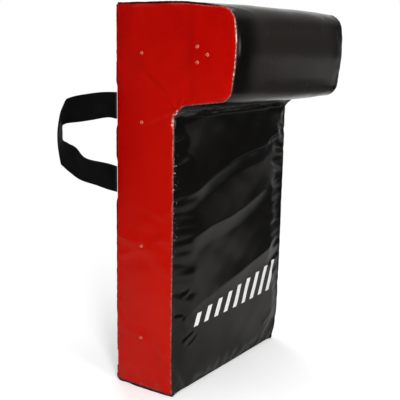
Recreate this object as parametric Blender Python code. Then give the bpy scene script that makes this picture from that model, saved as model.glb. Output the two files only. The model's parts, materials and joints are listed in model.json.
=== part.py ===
"""Rugby hit shield.

A foam slab with a foam bolster across its top front edge stands in a sewn cover of coated
fabric. The cover has two red side panels with vent eyelets, black panels on its other faces,
a zip low on the back, and a webbing hand loop sewn into each back edge.

Frame: +Z up, the strike face looks along -Y, and the origin is the centre of the flat foot,
on the floor. All lengths are in metres and all angles in degrees.
"""
import math

import bmesh
import bpy
from mathutils import Matrix, Vector

# The body, measured between its seams
WIDTH = 0.390
SLAB_DEPTH = 0.130
FOOT_RISE = 0.004
FOOT_RADIUS = 0.008
FOOT_SEAM_RISE = 0.011
SEAM_HEIGHT = 0.716

# The bolster's end outline: depths from the back face, drops from the top seam
BOLSTER_DEPTH = 0.257
UNDERSIDE_DROP = 0.172
UNDERSIDE_RISE = 0.013
INNER_CUT = 0.020
NOSE_DROP = 0.070
LOWER_TUCK = 0.010
UPPER_TUCK = 0.008
TOP_FALL = 0.009
TOP_FLAT = 0.140
INNER_RADIUS = 0.008
LOWER_NOSE_RADIUS = 0.024
NOSE_RADIUS = 0.200
UPPER_NOSE_RADIUS = 0.028
TOP_RADIUS = 0.400

# The cover: how far each panel swells past the plane of its seams
PANEL_WALL = 0.0008
SEAM_GAP = 0.00025
CLEARANCE = 0.0003
SIDE_CROWN = 0.004
FRONT_CROWN = 0.010
BOLSTER_CROWN = 0.006
BACK_CROWN = 0.006
LOWER_BACK_CROWN = 0.002
FOOT_FLAT = 0.0016
SWELL_POWER = 3
FOOT_POWER = 12

# How far each side seam draws in at the cover's low front corner, and over what length
LEFT_CORNER_TUCK = 0.003
RIGHT_CORNER_TUCK = 0.018
CORNER_REACH = 0.100

# How finely the panels are divided
SHOULDER_INNER = 0.008
SHOULDER_OUTER = 0.026
CELL = 0.075
ARC_STEP = 24
SIDE_LOOP_SHARES = (0.08, 0.25, 0.5)

# The foam
CORE_END_GAP = 0.0018

# The zip, low on the back
ZIP_HEIGHT = 0.046
TAPE_WIDTH = 0.012
TEETH_BAR = 0.0015
TOOTH_LENGTH = 0.0013
TOOTH_WIDTH = 0.0026
TOOTH_PITCH = 0.005
TEETH_THICKNESS = 0.0024
TEETH_SPACE = 0.0012
TEETH_END_MARGIN = 0.030
STOP_LENGTH = 0.003
STOP_THICKNESS = 0.0028
SLIDER_LENGTH = 0.014
SLIDER_PLATE = 0.0012
SLIDER_FLANGE = 0.0007
SLIDER_SIDE_SPACE = 0.0009
BRIDGE_WIDTH = 0.0018
BRIDGE_LENGTH = 0.008
BRIDGE_LEG = 0.0014
BRIDGE_ROOM = 0.0023
BRIDGE_TOP = 0.0009
BRIDGE_CHAMFER = 0.0008
PULL_THICKNESS = 0.0012
PULL_LIFT = 0.0010
PULL_EYE_ROOM = 0.0012
PULL_ARM = 0.0013
PULL_TAB_LENGTH = 0.019
PULL_TAB_WIDTH = 0.0064
PULL_CORNER = 0.0016
ZIP_CHANNEL_MARGIN = 0.001

# The vent eyelets
EYELET_BORE_RADIUS = 0.0020
EYELET_BARREL_RADIUS = 0.0025
EYELET_FLANGE_RADIUS = 0.0040
EYELET_FLANGE = 0.0006
EYELET_FLARE_RADIUS = 0.0034
EYELET_FLARE = 0.0004
WASHER_RADIUS = 0.0042
WASHER_THICKNESS = 0.0005
EYELET_SIDES = 10
COLUMN_DEPTH_SHARE = 0.47
COLUMN_HEIGHT_SHARES = (0.145, 0.395, 0.714, 0.883)
CLUSTER_DEPTH_SHARE = 0.728
CLUSTER_HEIGHT_SHARE = 0.883
CLUSTER_RADIUS = 0.0145
CLUSTER_ANGLES = (0, 115, 245)

# The webbing hand loops, one sewn into each back edge
WEBBING_WIDTH = 0.049
WEBBING_THICKNESS = 0.0022
HANDLE_HEIGHT = 0.4713
HANDLE_REACH = 0.106
HANDLE_HALF_SPREAD = 0.0687
HANDLE_SETBACK = 0.001
HANDLE_STEPS = 3
TIP_ANGLES = (40, 75)
# Points along the loop: shares of its reach, of its half spread and of a quarter turn
HANDLE_PATH_SHARES = (
    (0.00, 1.00, 0.00),
    (0.30, 0.985, 0.03),
    (0.585, 0.94, 0.14),
    (0.81, 0.855, 0.40),
    (0.934, 0.69, 0.72),
    (0.99, 0.447, 0.955),
    (1.00, 0.185, 1.00),
    (0.972, -0.076, 0.81),
    (0.887, -0.31, 0.49),
    (0.755, -0.50, 0.22),
    (0.566, -0.716, 0.07),
    (0.358, -0.876, 0.01),
    (0.17, -0.949, 0.00),
    (0.00, -1.00, 0.00),
)

# Working values
OVERRUN = 0.020
TOP_SEAM = FOOT_RISE + SEAM_HEIGHT
UNDERSIDE = TOP_SEAM - UNDERSIDE_DROP
HALF_WIDTH = WIDTH / 2
BACK = SLAB_DEPTH / 2
TEETH_HALF_ROW = TEETH_SPACE / 2 + TOOTH_LENGTH + TEETH_BAR
TAPE_EDGE = TEETH_HALF_ROW + CLEARANCE
ZIP_HALF = TAPE_EDGE + TAPE_WIDTH
TAPE_MIDDLE = BACK - PANEL_WALL / 2
TEETH_HALF_LENGTH = HALF_WIDTH - TEETH_END_MARGIN
SLIDER_ROOM = TEETH_THICKNESS / 2 + CLEARANCE
SLIDER_HALF_HEIGHT = SLIDER_ROOM + SLIDER_PLATE
SLIDER_INNER_HALF = TEETH_HALF_ROW + SLIDER_SIDE_SPACE
SLIDER_HALF_WIDTH = SLIDER_INNER_HALF + SLIDER_FLANGE
SLIDER_REST = TEETH_HALF_LENGTH - SLIDER_LENGTH / 2
HOLE_RADIUS = EYELET_BARREL_RADIUS + CLEARANCE

# Angles past which an edge stays sharp
SMOOTH_ANGLE = 35
WEBBING_SMOOTH_ANGLE = 50

COLOURS = {
    "red_cover": ((0.50, 0.012, 0.006), 0.32, 0.0),
    "black_cover": ((0.018, 0.018, 0.019), 0.34, 0.0),
    "foam": ((0.55, 0.55, 0.52), 0.95, 0.0),
    "webbing": ((0.012, 0.012, 0.012), 0.85, 0.0),
    "tape": ((0.015, 0.015, 0.015), 0.9, 0.0),
    "teeth": ((0.02, 0.02, 0.02), 0.45, 0.0),
    "zip_metal": ((0.05, 0.05, 0.055), 0.35, 1.0),
    "eyelet_metal": ((0.80, 0.74, 0.66), 0.3, 1.0),
}


def clear_scene():
    for item in list(bpy.data.objects):
        bpy.data.objects.remove(item, do_unlink=True)


def material(name):
    """The named Principled material, made once."""
    found = bpy.data.materials.get(name)
    if found:
        return found
    colour, roughness, metallic = COLOURS[name]
    made = bpy.data.materials.new(name)
    made.use_nodes = True
    shader = made.node_tree.nodes["Principled BSDF"]
    shader.inputs["Base Color"].default_value = (*colour, 1)
    shader.inputs["Roughness"].default_value = roughness
    shader.inputs["Metallic"].default_value = metallic
    made.diffuse_color = (*colour, 1)
    return made


def shade(mesh, angle):
    """Smooth shading, with edges kept sharp past the angle."""
    mesh.shade_smooth()
    mesh.set_sharp_from_angle(angle=math.radians(angle))


def add_object(name, bm, material_name, origin=(0, 0, 0), smooth_angle=SMOOTH_ANGLE):
    """Turn a mesh in world places into an object whose origin is the given point."""
    bmesh.ops.recalc_face_normals(bm, faces=bm.faces)
    bmesh.ops.translate(bm, vec=-Vector(origin), verts=bm.verts)
    mesh = bpy.data.meshes.new(name)
    bm.to_mesh(mesh)
    bm.free()
    mesh.materials.append(material(material_name))
    shade(mesh, smooth_angle)
    item = bpy.data.objects.new(name, mesh)
    item.location = origin
    bpy.context.collection.objects.link(item)
    return item


def combine(target, tools, operation):
    """Apply one exact Boolean of each tool to the target, and remove the tools."""
    for tool in tools:
        modifier = target.modifiers.new(operation, "BOOLEAN")
        modifier.operation = operation
        modifier.solver = "EXACT"
        modifier.object = tool
    bpy.context.view_layer.update()
    graph = bpy.context.evaluated_depsgraph_get()
    mesh = bpy.data.meshes.new_from_object(target.evaluated_get(graph))
    target.modifiers.clear()
    target.data = mesh
    mesh.name = target.name
    shade(mesh, SMOOTH_ANGLE)
    for tool in tools:
        bpy.data.objects.remove(tool, do_unlink=True)
    return target


def extruded(name, outline, place, thickness, material_name, origin=(0, 0, 0)):
    """A flat closed outline, thickened. place(a, b, c) gives the point at outline place (a, b)
    and height c, which runs over the thickness about zero."""
    bm = bmesh.new()
    lower = [bm.verts.new(place(a, b, -thickness / 2)) for a, b in outline]
    face = bm.faces.new(lower)
    new = bmesh.ops.extrude_face_region(bm, geom=[face])["geom"]
    step = place(0, 0, thickness / 2) - place(0, 0, -thickness / 2)
    moved = [v for v in new if isinstance(v, bmesh.types.BMVert)]
    bmesh.ops.translate(bm, vec=step, verts=moved)
    return add_object(name, bm, material_name, origin)


def box(name, low, high, material_name, origin=(0, 0, 0)):
    """A block between two corners."""
    bm = bmesh.new()
    bmesh.ops.create_cube(bm, size=1)
    low, high = Vector(low), Vector(high)
    bmesh.ops.scale(bm, vec=high - low, verts=bm.verts)
    bmesh.ops.translate(bm, vec=(low + high) / 2, verts=bm.verts)
    return add_object(name, bm, material_name, origin)


# The outline of the body, in (y, z), runs along the foot to the front, up the strike face,
# round the bolster, back over the top and down the back.

def from_back(depth, height):
    return Vector((BACK - depth, height))


def fillet(before, corner, after, radius):
    """Points of the arc that rounds a corner."""
    inward = (before - corner).normalized()
    outward = (after - corner).normalized()
    half = inward.angle(outward) / 2
    centre = corner + (inward + outward).normalized() * (radius / math.sin(half))
    start = corner + inward * (radius / math.tan(half)) - centre
    turn = math.pi - 2 * half
    side = start.x * outward.y - start.y * outward.x
    count = max(1, math.ceil(math.degrees(turn) / ARC_STEP))
    sign = 1 if side > 0 else -1
    arc = []
    for i in range(count + 1):
        angle = sign * turn * i / count
        arc.append(centre + Matrix.Rotation(angle, 2) @ start)
    return arc


def rounded(corners, radii):
    """An open run of points through the corners, each inner corner with its own radius."""
    run = [corners[0]]
    for i in range(1, len(corners) - 1):
        run += fillet(corners[i - 1], corners[i], corners[i + 1], radii[i - 1])
    run.append(corners[-1])
    return run


def divided(length, from_seam, to_seam):
    """Distances at which a straight run is divided, close together next to a seam."""
    least = SHOULDER_INNER / 2
    marks = []
    if from_seam:
        marks += [SHOULDER_INNER, SHOULDER_OUTER]
    if to_seam:
        marks += [length - SHOULDER_INNER, length - SHOULDER_OUTER]
    marks = sorted(mark for mark in marks if least < mark < length - least)
    out = [0.0]
    for mark in [*marks, length]:
        start = out[-1]
        gap = mark - start
        if gap <= least:
            continue
        steps = max(1, math.ceil(gap / CELL))
        out += [start + gap * (k + 1) / steps for k in range(steps)]
    return out


def divide_run(run):
    """The run with its long straight stretches divided."""
    out = [run[0]]
    for i in range(len(run) - 1):
        a, b = run[i], run[i + 1]
        length = (b - a).length
        if length > SHOULDER_INNER * 2:
            marks = divided(length, i == 0, i == len(run) - 2)[1:]
            out += [a.lerp(b, mark / length) for mark in marks]
        else:
            out.append(b)
    return out


def outline_runs():
    """The outline's runs from seam to seam, in order, each with its crown and its power."""
    low_back = from_back(0, FOOT_RISE + FOOT_SEAM_RISE)
    back_foot = from_back(0, FOOT_RISE)
    front_foot = from_back(SLAB_DEPTH, FOOT_RISE)
    cut_start = from_back(SLAB_DEPTH, UNDERSIDE - INNER_CUT)
    groove = from_back(SLAB_DEPTH + INNER_CUT / 2, UNDERSIDE - INNER_CUT / 2)
    cut_end = from_back(SLAB_DEPTH + INNER_CUT, UNDERSIDE)
    nose_low = from_back(BOLSTER_DEPTH - LOWER_TUCK, UNDERSIDE + UNDERSIDE_RISE)
    nose = from_back(BOLSTER_DEPTH, TOP_SEAM - NOSE_DROP)
    nose_high = from_back(BOLSTER_DEPTH - UPPER_TUCK, TOP_SEAM - TOP_FALL)
    top = from_back(TOP_FLAT, TOP_SEAM)
    back_top = from_back(0, TOP_SEAM)
    zip_top = from_back(0, ZIP_HEIGHT + ZIP_HALF)
    zip_low = from_back(0, ZIP_HEIGHT - ZIP_HALF)
    bolster = rounded([groove, cut_end, nose_low, nose, nose_high, top, back_top],
                      [INNER_RADIUS, LOWER_NOSE_RADIUS, NOSE_RADIUS, UPPER_NOSE_RADIUS,
                       TOP_RADIUS])
    base = rounded([low_back, back_foot, front_foot], [FOOT_RADIUS])
    return {
        "base_panel": (base, FOOT_RISE + FOOT_FLAT, FOOT_POWER),
        "front_panel": (rounded([front_foot, cut_start, groove], [INNER_RADIUS]),
                        FRONT_CROWN, SWELL_POWER),
        "bolster_panel": (bolster, BOLSTER_CROWN, SWELL_POWER),
        "back_panel": ([back_top, zip_top], BACK_CROWN, SWELL_POWER),
        "zip": ([zip_top, zip_low], 0, SWELL_POWER),
        "back_lower_panel": ([zip_low, low_back], LOWER_BACK_CROWN, SWELL_POWER),
    }


def swell(share, power):
    """The crown's height, as a share, at a place from -1 to 1 across a panel."""
    return math.sqrt(max(0, 1 - abs(share) ** power))


class Outline:
    """The closed outline with its outward directions, and its runs by name."""

    def __init__(self):
        self.points, self.crowns, self.powers, self.runs = [], [], [], {}
        for name, (run, crown, power) in outline_runs().items():
            run = divide_run(run)
            start = len(self.points)
            along = [0.0]
            for a, b in zip(run, run[1:]):
                along.append(along[-1] + (b - a).length)
            for point, place in zip(run[:-1], along):
                share = 2 * place / along[-1] - 1
                self.points.append(point)
                self.crowns.append(crown * swell(share, power))
                self.powers.append(power)
            self.runs[name] = (start, start + len(run) - 1)
        self.outward = [self.mitre(i) for i in range(len(self.points))]
        corner = self.points[self.runs["front_panel"][0]]
        shares = [max(0, 1 - (p - corner).length / CORNER_REACH) ** 2 for p in self.points]
        self.tucks = {-1: [LEFT_CORNER_TUCK * share for share in shares],
                      1: [RIGHT_CORNER_TUCK * share for share in shares]}

    def mitre(self, i):
        """The direction out of corner i, as long as its mitre."""
        count = len(self.points)
        before = (self.points[i] - self.points[i - 1]).normalized()
        after = (self.points[(i + 1) % count] - self.points[i]).normalized()
        sides = [Vector((-d.y, d.x)) for d in (before, after)]
        middle = (sides[0] + sides[1]).normalized()
        return middle / middle.dot(sides[0])

    def inset(self, depth):
        return [p - o * depth for p, o in zip(self.points, self.outward)]

    def section(self, x_share, half, depth):
        """The closed section at one place across the width, at a depth below the surface."""
        out = []
        tucks = self.tucks[-1 if x_share < 0 else 1]
        for point, outward, crown, power, tuck in zip(self.inset(depth), self.outward,
                                                      self.crowns, self.powers, tucks):
            place = point + outward.normalized() * (crown * swell(x_share, power))
            out.append(Vector((x_share * (half - tuck), place.x, max(place.y, depth))))
        return out

    def spine(self, point):
        """The nearest place on the bent middle line of the end outline."""
        low = from_back(SLAB_DEPTH / 2, FOOT_RISE + SLAB_DEPTH / 2)
        middle_height = (TOP_SEAM + UNDERSIDE) / 2
        bend = from_back(SLAB_DEPTH / 2, middle_height)
        end = from_back(BOLSTER_DEPTH - SLAB_DEPTH / 2, middle_height)
        best = None
        for a, b in ((low, bend), (bend, end)):
            share = (point - a).dot(b - a) / (b - a).length_squared
            place = a.lerp(b, min(1, max(0, share)))
            if best is None or (place - point).length < (best - point).length:
                best = place
        return best

    def end_loops(self, side, half, depth, pull_in):
        """Loops that run inwards from the end outline and rise to the end's crown."""
        edge = self.inset(depth + pull_in)
        tucks = self.tucks[side]
        loops = [[Vector((side * (half - tuck), p.x, p.y)) for p, tuck in zip(edge, tucks)]]
        full = self.inset(depth)
        for share in SIDE_LOOP_SHARES:
            rise = SIDE_CROWN * swell(1 - share, SWELL_POWER)
            fade = (1 - share / SIDE_LOOP_SHARES[-1]) ** 2
            loop = []
            for point, origin, tuck in zip(full, self.points, tucks):
                place = point.lerp(self.spine(origin), share)
                loop.append(Vector((side * (half + rise - tuck * fade), place.x, place.y)))
            loops.append(loop)
        return loops


def x_shares():
    """Places across the width, as shares of the half width, closer next to the seams."""
    marks = divided(WIDTH, True, True)
    return [mark / HALF_WIDTH - 1 for mark in marks]


def ring_faces(bm, first, second):
    """Quads between two closed rings of vertices."""
    count = len(first)
    for i in range(count):
        j = (i + 1) % count
        bm.faces.new((first[i], first[j], second[j], second[i]))


def strip_grid(outline, name, depth):
    """Rows of points of one panel, pulled back from its four seams."""
    start, end = outline.runs[name]
    count = len(outline.points)
    half = HALF_WIDTH - depth
    rows = []
    shares = x_shares()
    for share in shares:
        section = outline.section(share, half, depth)
        row = [section[i % count].copy() for i in range(start, end + 1)]
        row[0] += (row[1] - row[0]).normalized() * SEAM_GAP
        row[-1] += (row[-2] - row[-1]).normalized() * SEAM_GAP
        rows.append(row)
    for row, side in ((rows[0], 1), (rows[-1], -1)):
        for point in row:
            point.x += side * SEAM_GAP
    return rows


def make_strip(outline, name):
    """A cover panel that runs across the width: an outer and an inner skin and a rim."""
    bm = bmesh.new()
    skins = []
    for depth in (0, PANEL_WALL):
        rows = strip_grid(outline, name, depth)
        skins.append([[bm.verts.new(p) for p in row] for row in rows])
    for skin in skins:
        for row, following in zip(skin, skin[1:]):
            for i in range(len(row) - 1):
                bm.faces.new((row[i], row[i + 1], following[i + 1], following[i]))
    rims = []
    for skin in skins:
        rim = list(skin[0])
        rim += [row[-1] for row in skin[1:-1]]
        rim += reversed(skin[-1])
        rim += [row[0] for row in reversed(skin[1:-1])]
        rims.append(rim)
    ring_faces(bm, rims[0], rims[1])
    return add_object(name, bm, "black_cover")


def eyelet_places():
    """Places of the vents on a side panel, in (y, z)."""
    places = []
    for share in COLUMN_HEIGHT_SHARES:
        places.append(from_back(SLAB_DEPTH * COLUMN_DEPTH_SHARE, TOP_SEAM * share))
    centre = from_back(BOLSTER_DEPTH * CLUSTER_DEPTH_SHARE, TOP_SEAM * CLUSTER_HEIGHT_SHARE)
    for angle in CLUSTER_ANGLES:
        turn = math.radians(angle)
        places.append(centre + Vector((-math.cos(turn), math.sin(turn))) * CLUSTER_RADIUS)
    return places


def end_face(side):
    """How far out the flat middle of a side panel lies."""
    rise = SIDE_CROWN * swell(1 - SIDE_LOOP_SHARES[-1], SWELL_POWER)
    return side * (HALF_WIDTH + rise)


def circle(bm, x, place, radius):
    """A ring of vertices about a vent's axis."""
    ring = []
    for k in range(EYELET_SIDES):
        turn = 2 * math.pi * k / EYELET_SIDES
        y = place.x + radius * math.cos(turn)
        ring.append(bm.verts.new((x, y, place.y + radius * math.sin(turn))))
    return ring


def ring_edges(bm, ring):
    """The edges round a closed ring of vertices, made where they are missing."""
    pairs = zip(ring, ring[1:] + ring[:1])
    return [bm.edges.get(pair) or bm.edges.new(pair) for pair in pairs]


def ring_solid(name, profile, side, place, material_name):
    """A turned ring about an axis along X. The profile is closed, in (height, radius), with
    heights counted outwards from the side panel's face."""
    bm = bmesh.new()
    rings = [circle(bm, end_face(side) + side * height, place, radius)
             for height, radius in profile]
    for first, second in zip(rings, rings[1:] + rings[:1]):
        ring_faces(bm, first, second)
    return add_object(name, bm, material_name)


def make_side_panel(outline, side, name):
    """A flat-topped, swelled end panel with its vent holes."""
    bm = bmesh.new()
    rims, vents = [], []
    for depth in (0, PANEL_WALL):
        loops = outline.end_loops(side, HALF_WIDTH - depth, depth, SEAM_GAP)
        rings = [[bm.verts.new(p) for p in loop] for loop in loops]
        for first, second in zip(rings, rings[1:]):
            ring_faces(bm, first, second)
        face = end_face(side) - side * depth
        holes = [circle(bm, face, place, HOLE_RADIUS) for place in eyelet_places()]
        edges = [edge for ring in (rings[-1], *holes) for edge in ring_edges(bm, ring)]
        bmesh.ops.triangle_fill(bm, edges=edges, use_beauty=True)
        rims.append(rings[0])
        vents.append(holes)
    ring_faces(bm, *rims)
    for outer, inner in zip(*vents):
        ring_faces(bm, outer, inner)
    return add_object(name, bm, "red_cover")


def make_eyelets(side, word):
    """Each vent is a pressed eyelet with its ring washer behind the panel."""
    washer_front = -PANEL_WALL - CLEARANCE
    washer_back = washer_front - WASHER_THICKNESS
    flare_front = washer_back - CLEARANCE
    flare_back = flare_front - EYELET_FLARE
    face = CLEARANCE
    crest = face + EYELET_FLANGE
    crest_radius = (EYELET_BARREL_RADIUS + EYELET_FLANGE_RADIUS) / 2
    eyelet = [
        (crest - EYELET_FLANGE / 3, EYELET_BORE_RADIUS),
        (crest, crest_radius),
        (face + EYELET_FLANGE / 3, EYELET_FLANGE_RADIUS),
        (face, EYELET_FLANGE_RADIUS - EYELET_FLANGE / 2),
        (face, EYELET_BARREL_RADIUS),
        (flare_front, EYELET_BARREL_RADIUS),
        (flare_front, EYELET_FLARE_RADIUS),
        (flare_back, EYELET_FLARE_RADIUS - EYELET_FLARE / 2),
        (flare_back, EYELET_BORE_RADIUS),
    ]
    bore = EYELET_BARREL_RADIUS + CLEARANCE
    washer = [(washer_front, bore), (washer_front, WASHER_RADIUS),
              (washer_back, WASHER_RADIUS), (washer_back, bore)]
    for number, place in enumerate(eyelet_places(), start=1):
        ring_solid(f"eyelet_{word}_{number}", eyelet, side, place, "eyelet_metal")
        ring_solid(f"eyelet_washer_{word}_{number}", washer, side, place, "eyelet_metal")


def body_solid(outline, name, depth):
    """The whole inside of the cover as one closed solid."""
    bm = bmesh.new()
    half = HALF_WIDTH - PANEL_WALL - CORE_END_GAP
    rings = []
    for share in x_shares():
        rings.append([bm.verts.new(p) for p in outline.section(share, half, depth)])
    for first, second in zip(rings, rings[1:]):
        ring_faces(bm, first, second)
    for side, edge in ((-1, rings[0]), (1, rings[-1])):
        last = edge
        for loop in outline.end_loops(side, half, depth, 0)[1:]:
            ring = [bm.verts.new(p) for p in loop]
            ring_faces(bm, last, ring)
            last = ring
        bm.faces.new(last)
    return add_object(name, bm, "foam")


def make_cores(outline):
    """The foam slab and the foam bolster that is glued to its top front."""
    depth = PANEL_WALL + CLEARANCE
    plane = -SLAB_DEPTH / 2 + depth
    side = HALF_WIDTH + OVERRUN
    front = BACK - BOLSTER_DEPTH - OVERRUN
    floor = UNDERSIDE - INNER_CUT / 2
    top = TOP_SEAM + OVERRUN
    slab = body_solid(outline, "slab_core", depth)
    bolster = body_solid(outline, "bolster_core", depth)
    gap = CLEARANCE / 2
    away = box("away", (-side, front, floor - gap), (side, plane + gap, top), "foam")
    channel_half = SLIDER_HALF_WIDTH + ZIP_CHANNEL_MARGIN
    channel_floor = TAPE_MIDDLE - SLIDER_HALF_HEIGHT - ZIP_CHANNEL_MARGIN
    channel = box("channel", (-side, channel_floor, ZIP_HEIGHT - channel_half),
                  (side, BACK + OVERRUN, ZIP_HEIGHT + channel_half), "foam")
    combine(slab, [away, channel], "DIFFERENCE")
    keep = box("keep", (-side, front, floor + gap), (side, plane - gap, top), "foam")
    combine(bolster, [keep], "INTERSECT")


def back_place(x, z, out):
    """A point of the zip: across, up from its middle line, and out from its tapes' middle."""
    return Vector((x, TAPE_MIDDLE + out, ZIP_HEIGHT + z))


def make_tape(side, name):
    """A zip tape, sewn along one edge to the cover and wider past the ends of the teeth."""
    end = HALF_WIDTH - SEAM_GAP
    notch = TEETH_HALF_LENGTH + CLEARANCE * 2 + STOP_LENGTH
    inner = CLEARANCE / 2
    far = ZIP_HALF - SEAM_GAP
    outline = [(-end, far), (-end, inner), (-notch, inner), (-notch, TAPE_EDGE),
               (notch, TAPE_EDGE), (notch, inner), (end, inner), (end, far)]
    outline = [(x, side * z) for x, z in outline]
    tape = extruded(name, outline, back_place, PANEL_WALL, "tape")
    mitre_tape(tape)
    return tape


def mitre_tape(tape):
    """Draw the inner skin of a tape in from the side seams, as the panels' mitres are."""
    for vertex in tape.data.vertices:
        if abs(vertex.co.x) > HALF_WIDTH - OVERRUN and vertex.co.y < TAPE_MIDDLE:
            vertex.co.x -= math.copysign(PANEL_WALL, vertex.co.x)


def make_teeth(side, name):
    """One row of teeth on its bar, half a pitch off the other row."""
    inner = TEETH_SPACE / 2
    root = inner + TOOTH_LENGTH
    outer = root + TEETH_BAR
    count = int((2 * TEETH_HALF_LENGTH - TOOTH_PITCH) // TOOTH_PITCH)
    shift = side * TOOTH_PITCH / 4
    outline = [(-TEETH_HALF_LENGTH, outer), (-TEETH_HALF_LENGTH, root)]
    for k in range(count):
        middle = (k - (count - 1) / 2) * TOOTH_PITCH + shift
        left, right = middle - TOOTH_WIDTH / 2, middle + TOOTH_WIDTH / 2
        outline += [(left, root), (left, inner), (right, inner), (right, root)]
    outline += [(TEETH_HALF_LENGTH, root), (TEETH_HALF_LENGTH, outer)]
    outline = [(x, side * z) for x, z in outline]
    return extruded(name, outline, back_place, TEETH_THICKNESS, "teeth")


def make_stop(side, name):
    """A metal stop clamped across both tapes at an end of the teeth."""
    near = TEETH_HALF_LENGTH + CLEARANCE
    xs = sorted((side * near, side * (near + STOP_LENGTH)))
    low = back_place(xs[0], -TEETH_HALF_ROW, -STOP_THICKNESS / 2)
    high = back_place(xs[1], TEETH_HALF_ROW, STOP_THICKNESS / 2)
    return box(name, low, high, "zip_metal")


def make_slider():
    """The slider: two plates joined by a web between the rows, with side flanges over the
    tapes and a bridge for the pull."""
    web = TEETH_SPACE / 2 - CLEARANCE
    slot = PANEL_WALL / 2 + CLEARANCE
    quarter = [(SLIDER_HALF_WIDTH, SLIDER_HALF_HEIGHT), (SLIDER_HALF_WIDTH, slot),
               (SLIDER_INNER_HALF, slot), (SLIDER_INNER_HALF, SLIDER_ROOM),
               (web, SLIDER_ROOM)]
    right = quarter + [(z, -out) for z, out in reversed(quarter)]
    section = right + [(-z, -out) for z, out in right]
    centre = SLIDER_REST
    origin = back_place(centre, 0, 0)
    slider = extruded("zip_slider", section, lambda z, out, x: back_place(centre + x, z, out),
                      SLIDER_LENGTH, "zip_metal", origin)
    base = SLIDER_HALF_HEIGHT - SLIDER_PLATE / 2
    ceiling = SLIDER_HALF_HEIGHT + BRIDGE_ROOM
    crest = ceiling + BRIDGE_TOP
    foot = BRIDGE_LENGTH / 2
    inside = foot - BRIDGE_LEG
    arch = [(-foot, base), (-inside, base), (-inside, ceiling), (inside, ceiling),
            (inside, base), (foot, base), (foot, crest - BRIDGE_CHAMFER),
            (foot - BRIDGE_CHAMFER, crest), (BRIDGE_CHAMFER - foot, crest),
            (-foot, crest - BRIDGE_CHAMFER)]
    bridge = extruded("bridge", arch, lambda x, out, z: back_place(centre + x, z, out),
                      BRIDGE_WIDTH, "zip_metal")
    return combine(slider, [bridge], "UNION")


def make_pull():
    """The pull: a flat tab with an eye whose end bar turns under the slider's bridge."""
    bar = PULL_THICKNESS / 2
    opening = BRIDGE_LENGTH / 2 + PULL_EYE_ROOM
    inside = BRIDGE_WIDTH / 2 + CLEARANCE
    arm = inside + PULL_ARM
    tab = PULL_TAB_WIDTH / 2
    end = opening + PULL_TAB_LENGTH
    shape = [(-bar, -arm), (-bar, arm), (opening, arm), (opening + PULL_ARM, tab),
             (end - PULL_CORNER, tab), (end, tab - PULL_CORNER), (end, PULL_CORNER - tab),
             (end - PULL_CORNER, -tab), (opening + PULL_ARM, -tab), (opening, -arm)]
    out = SLIDER_HALF_HEIGHT + PULL_LIFT
    centre = SLIDER_REST
    origin = back_place(centre, 0, out)
    pull = extruded("zip_pull", shape, lambda a, b, c: back_place(centre - a, b, out + c),
                    PULL_THICKNESS, "zip_metal", origin)
    low = back_place(centre - opening, -inside, out - PULL_THICKNESS)
    high = back_place(centre - bar, inside, out + PULL_THICKNESS)
    return combine(pull, [box("eye", low, high, "zip_metal")], "DIFFERENCE")


def smooth_path(points, steps):
    """A smooth curve through all the points."""
    first = points[0] * 2 - points[1]
    last = points[-1] * 2 - points[-2]
    run = [first, *points, last]
    out = []
    for i in range(1, len(run) - 2):
        a, b, c, d = run[i - 1:i + 3]
        for k in range(steps):
            t = k / steps
            even = 2 * a - 5 * b + 4 * c - d
            odd = 3 * b - a - 3 * c + d
            out.append((2 * b + (c - a) * t + even * t * t + odd * t ** 3) / 2)
    out.append(points[-1])
    return out


def handle_frames():
    """Stations along the left loop, from the hinge line: place, edge, face and a share of
    the thickness. The loop stands in the upright plane that halves the back corner, with
    both ends on edge, and the grip between them is turned a quarter turn."""
    outward = Vector((-1, 1, 0)).normalized()
    across = Vector((1, 1, 0)).normalized()
    stations = [Vector(shares) for shares in HANDLE_PATH_SHARES]
    path = smooth_path(stations, HANDLE_STEPS)
    places = []
    for reach, spread, turn in path:
        rise = Vector((0, 0, HANDLE_HALF_SPREAD * spread))
        places.append(outward * (HANDLE_REACH * reach) + rise)
    frames = []
    for i, place in enumerate(places):
        ahead = places[min(i + 1, len(places) - 1)] - places[max(i - 1, 0)]
        ahead.normalize()
        if i == 0:
            ahead = outward
        if i == len(places) - 1:
            ahead = -outward
        edge = across.cross(ahead)
        turn = math.radians(90) * min(1, max(0, path[i].z))
        wide = edge * math.cos(turn) - across * math.sin(turn)
        frames.append((place, wide, ahead.cross(wide), 1.0))
    radius = WEBBING_THICKNESS / 2
    first, last = [], []
    for angle in TIP_ANGLES:
        turn = math.radians(angle)
        back = outward * (radius * math.sin(turn))
        first.insert(0, (frames[0][0] - back, *frames[0][1:3], math.cos(turn)))
        last.append((frames[-1][0] - back, *frames[-1][1:3], math.cos(turn)))
    return first + frames + last


def make_handle(side, name):
    """A loop of webbing with both ends in the seam of a back corner."""
    origin = Vector((side * (HALF_WIDTH + HANDLE_SETBACK), BACK + HANDLE_SETBACK,
                     HANDLE_HEIGHT))
    half_width = WEBBING_WIDTH / 2
    half_wall = WEBBING_THICKNESS / 2
    bm = bmesh.new()
    rings = []
    for place, wide, face, share in handle_frames():
        ring = []
        for a, b in ((1, 1), (-1, 1), (-1, -1), (1, -1)):
            point = place + wide * (a * half_width) + face * (b * half_wall * share)
            point.x *= -side
            ring.append(bm.verts.new(origin + point))
        rings.append(ring)
    for first, second in zip(rings, rings[1:]):
        ring_faces(bm, first, second)
    bm.faces.new(rings[0])
    bm.faces.new(rings[-1])
    return add_object(name, bm, "webbing", origin, WEBBING_SMOOTH_ANGLE)


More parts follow.
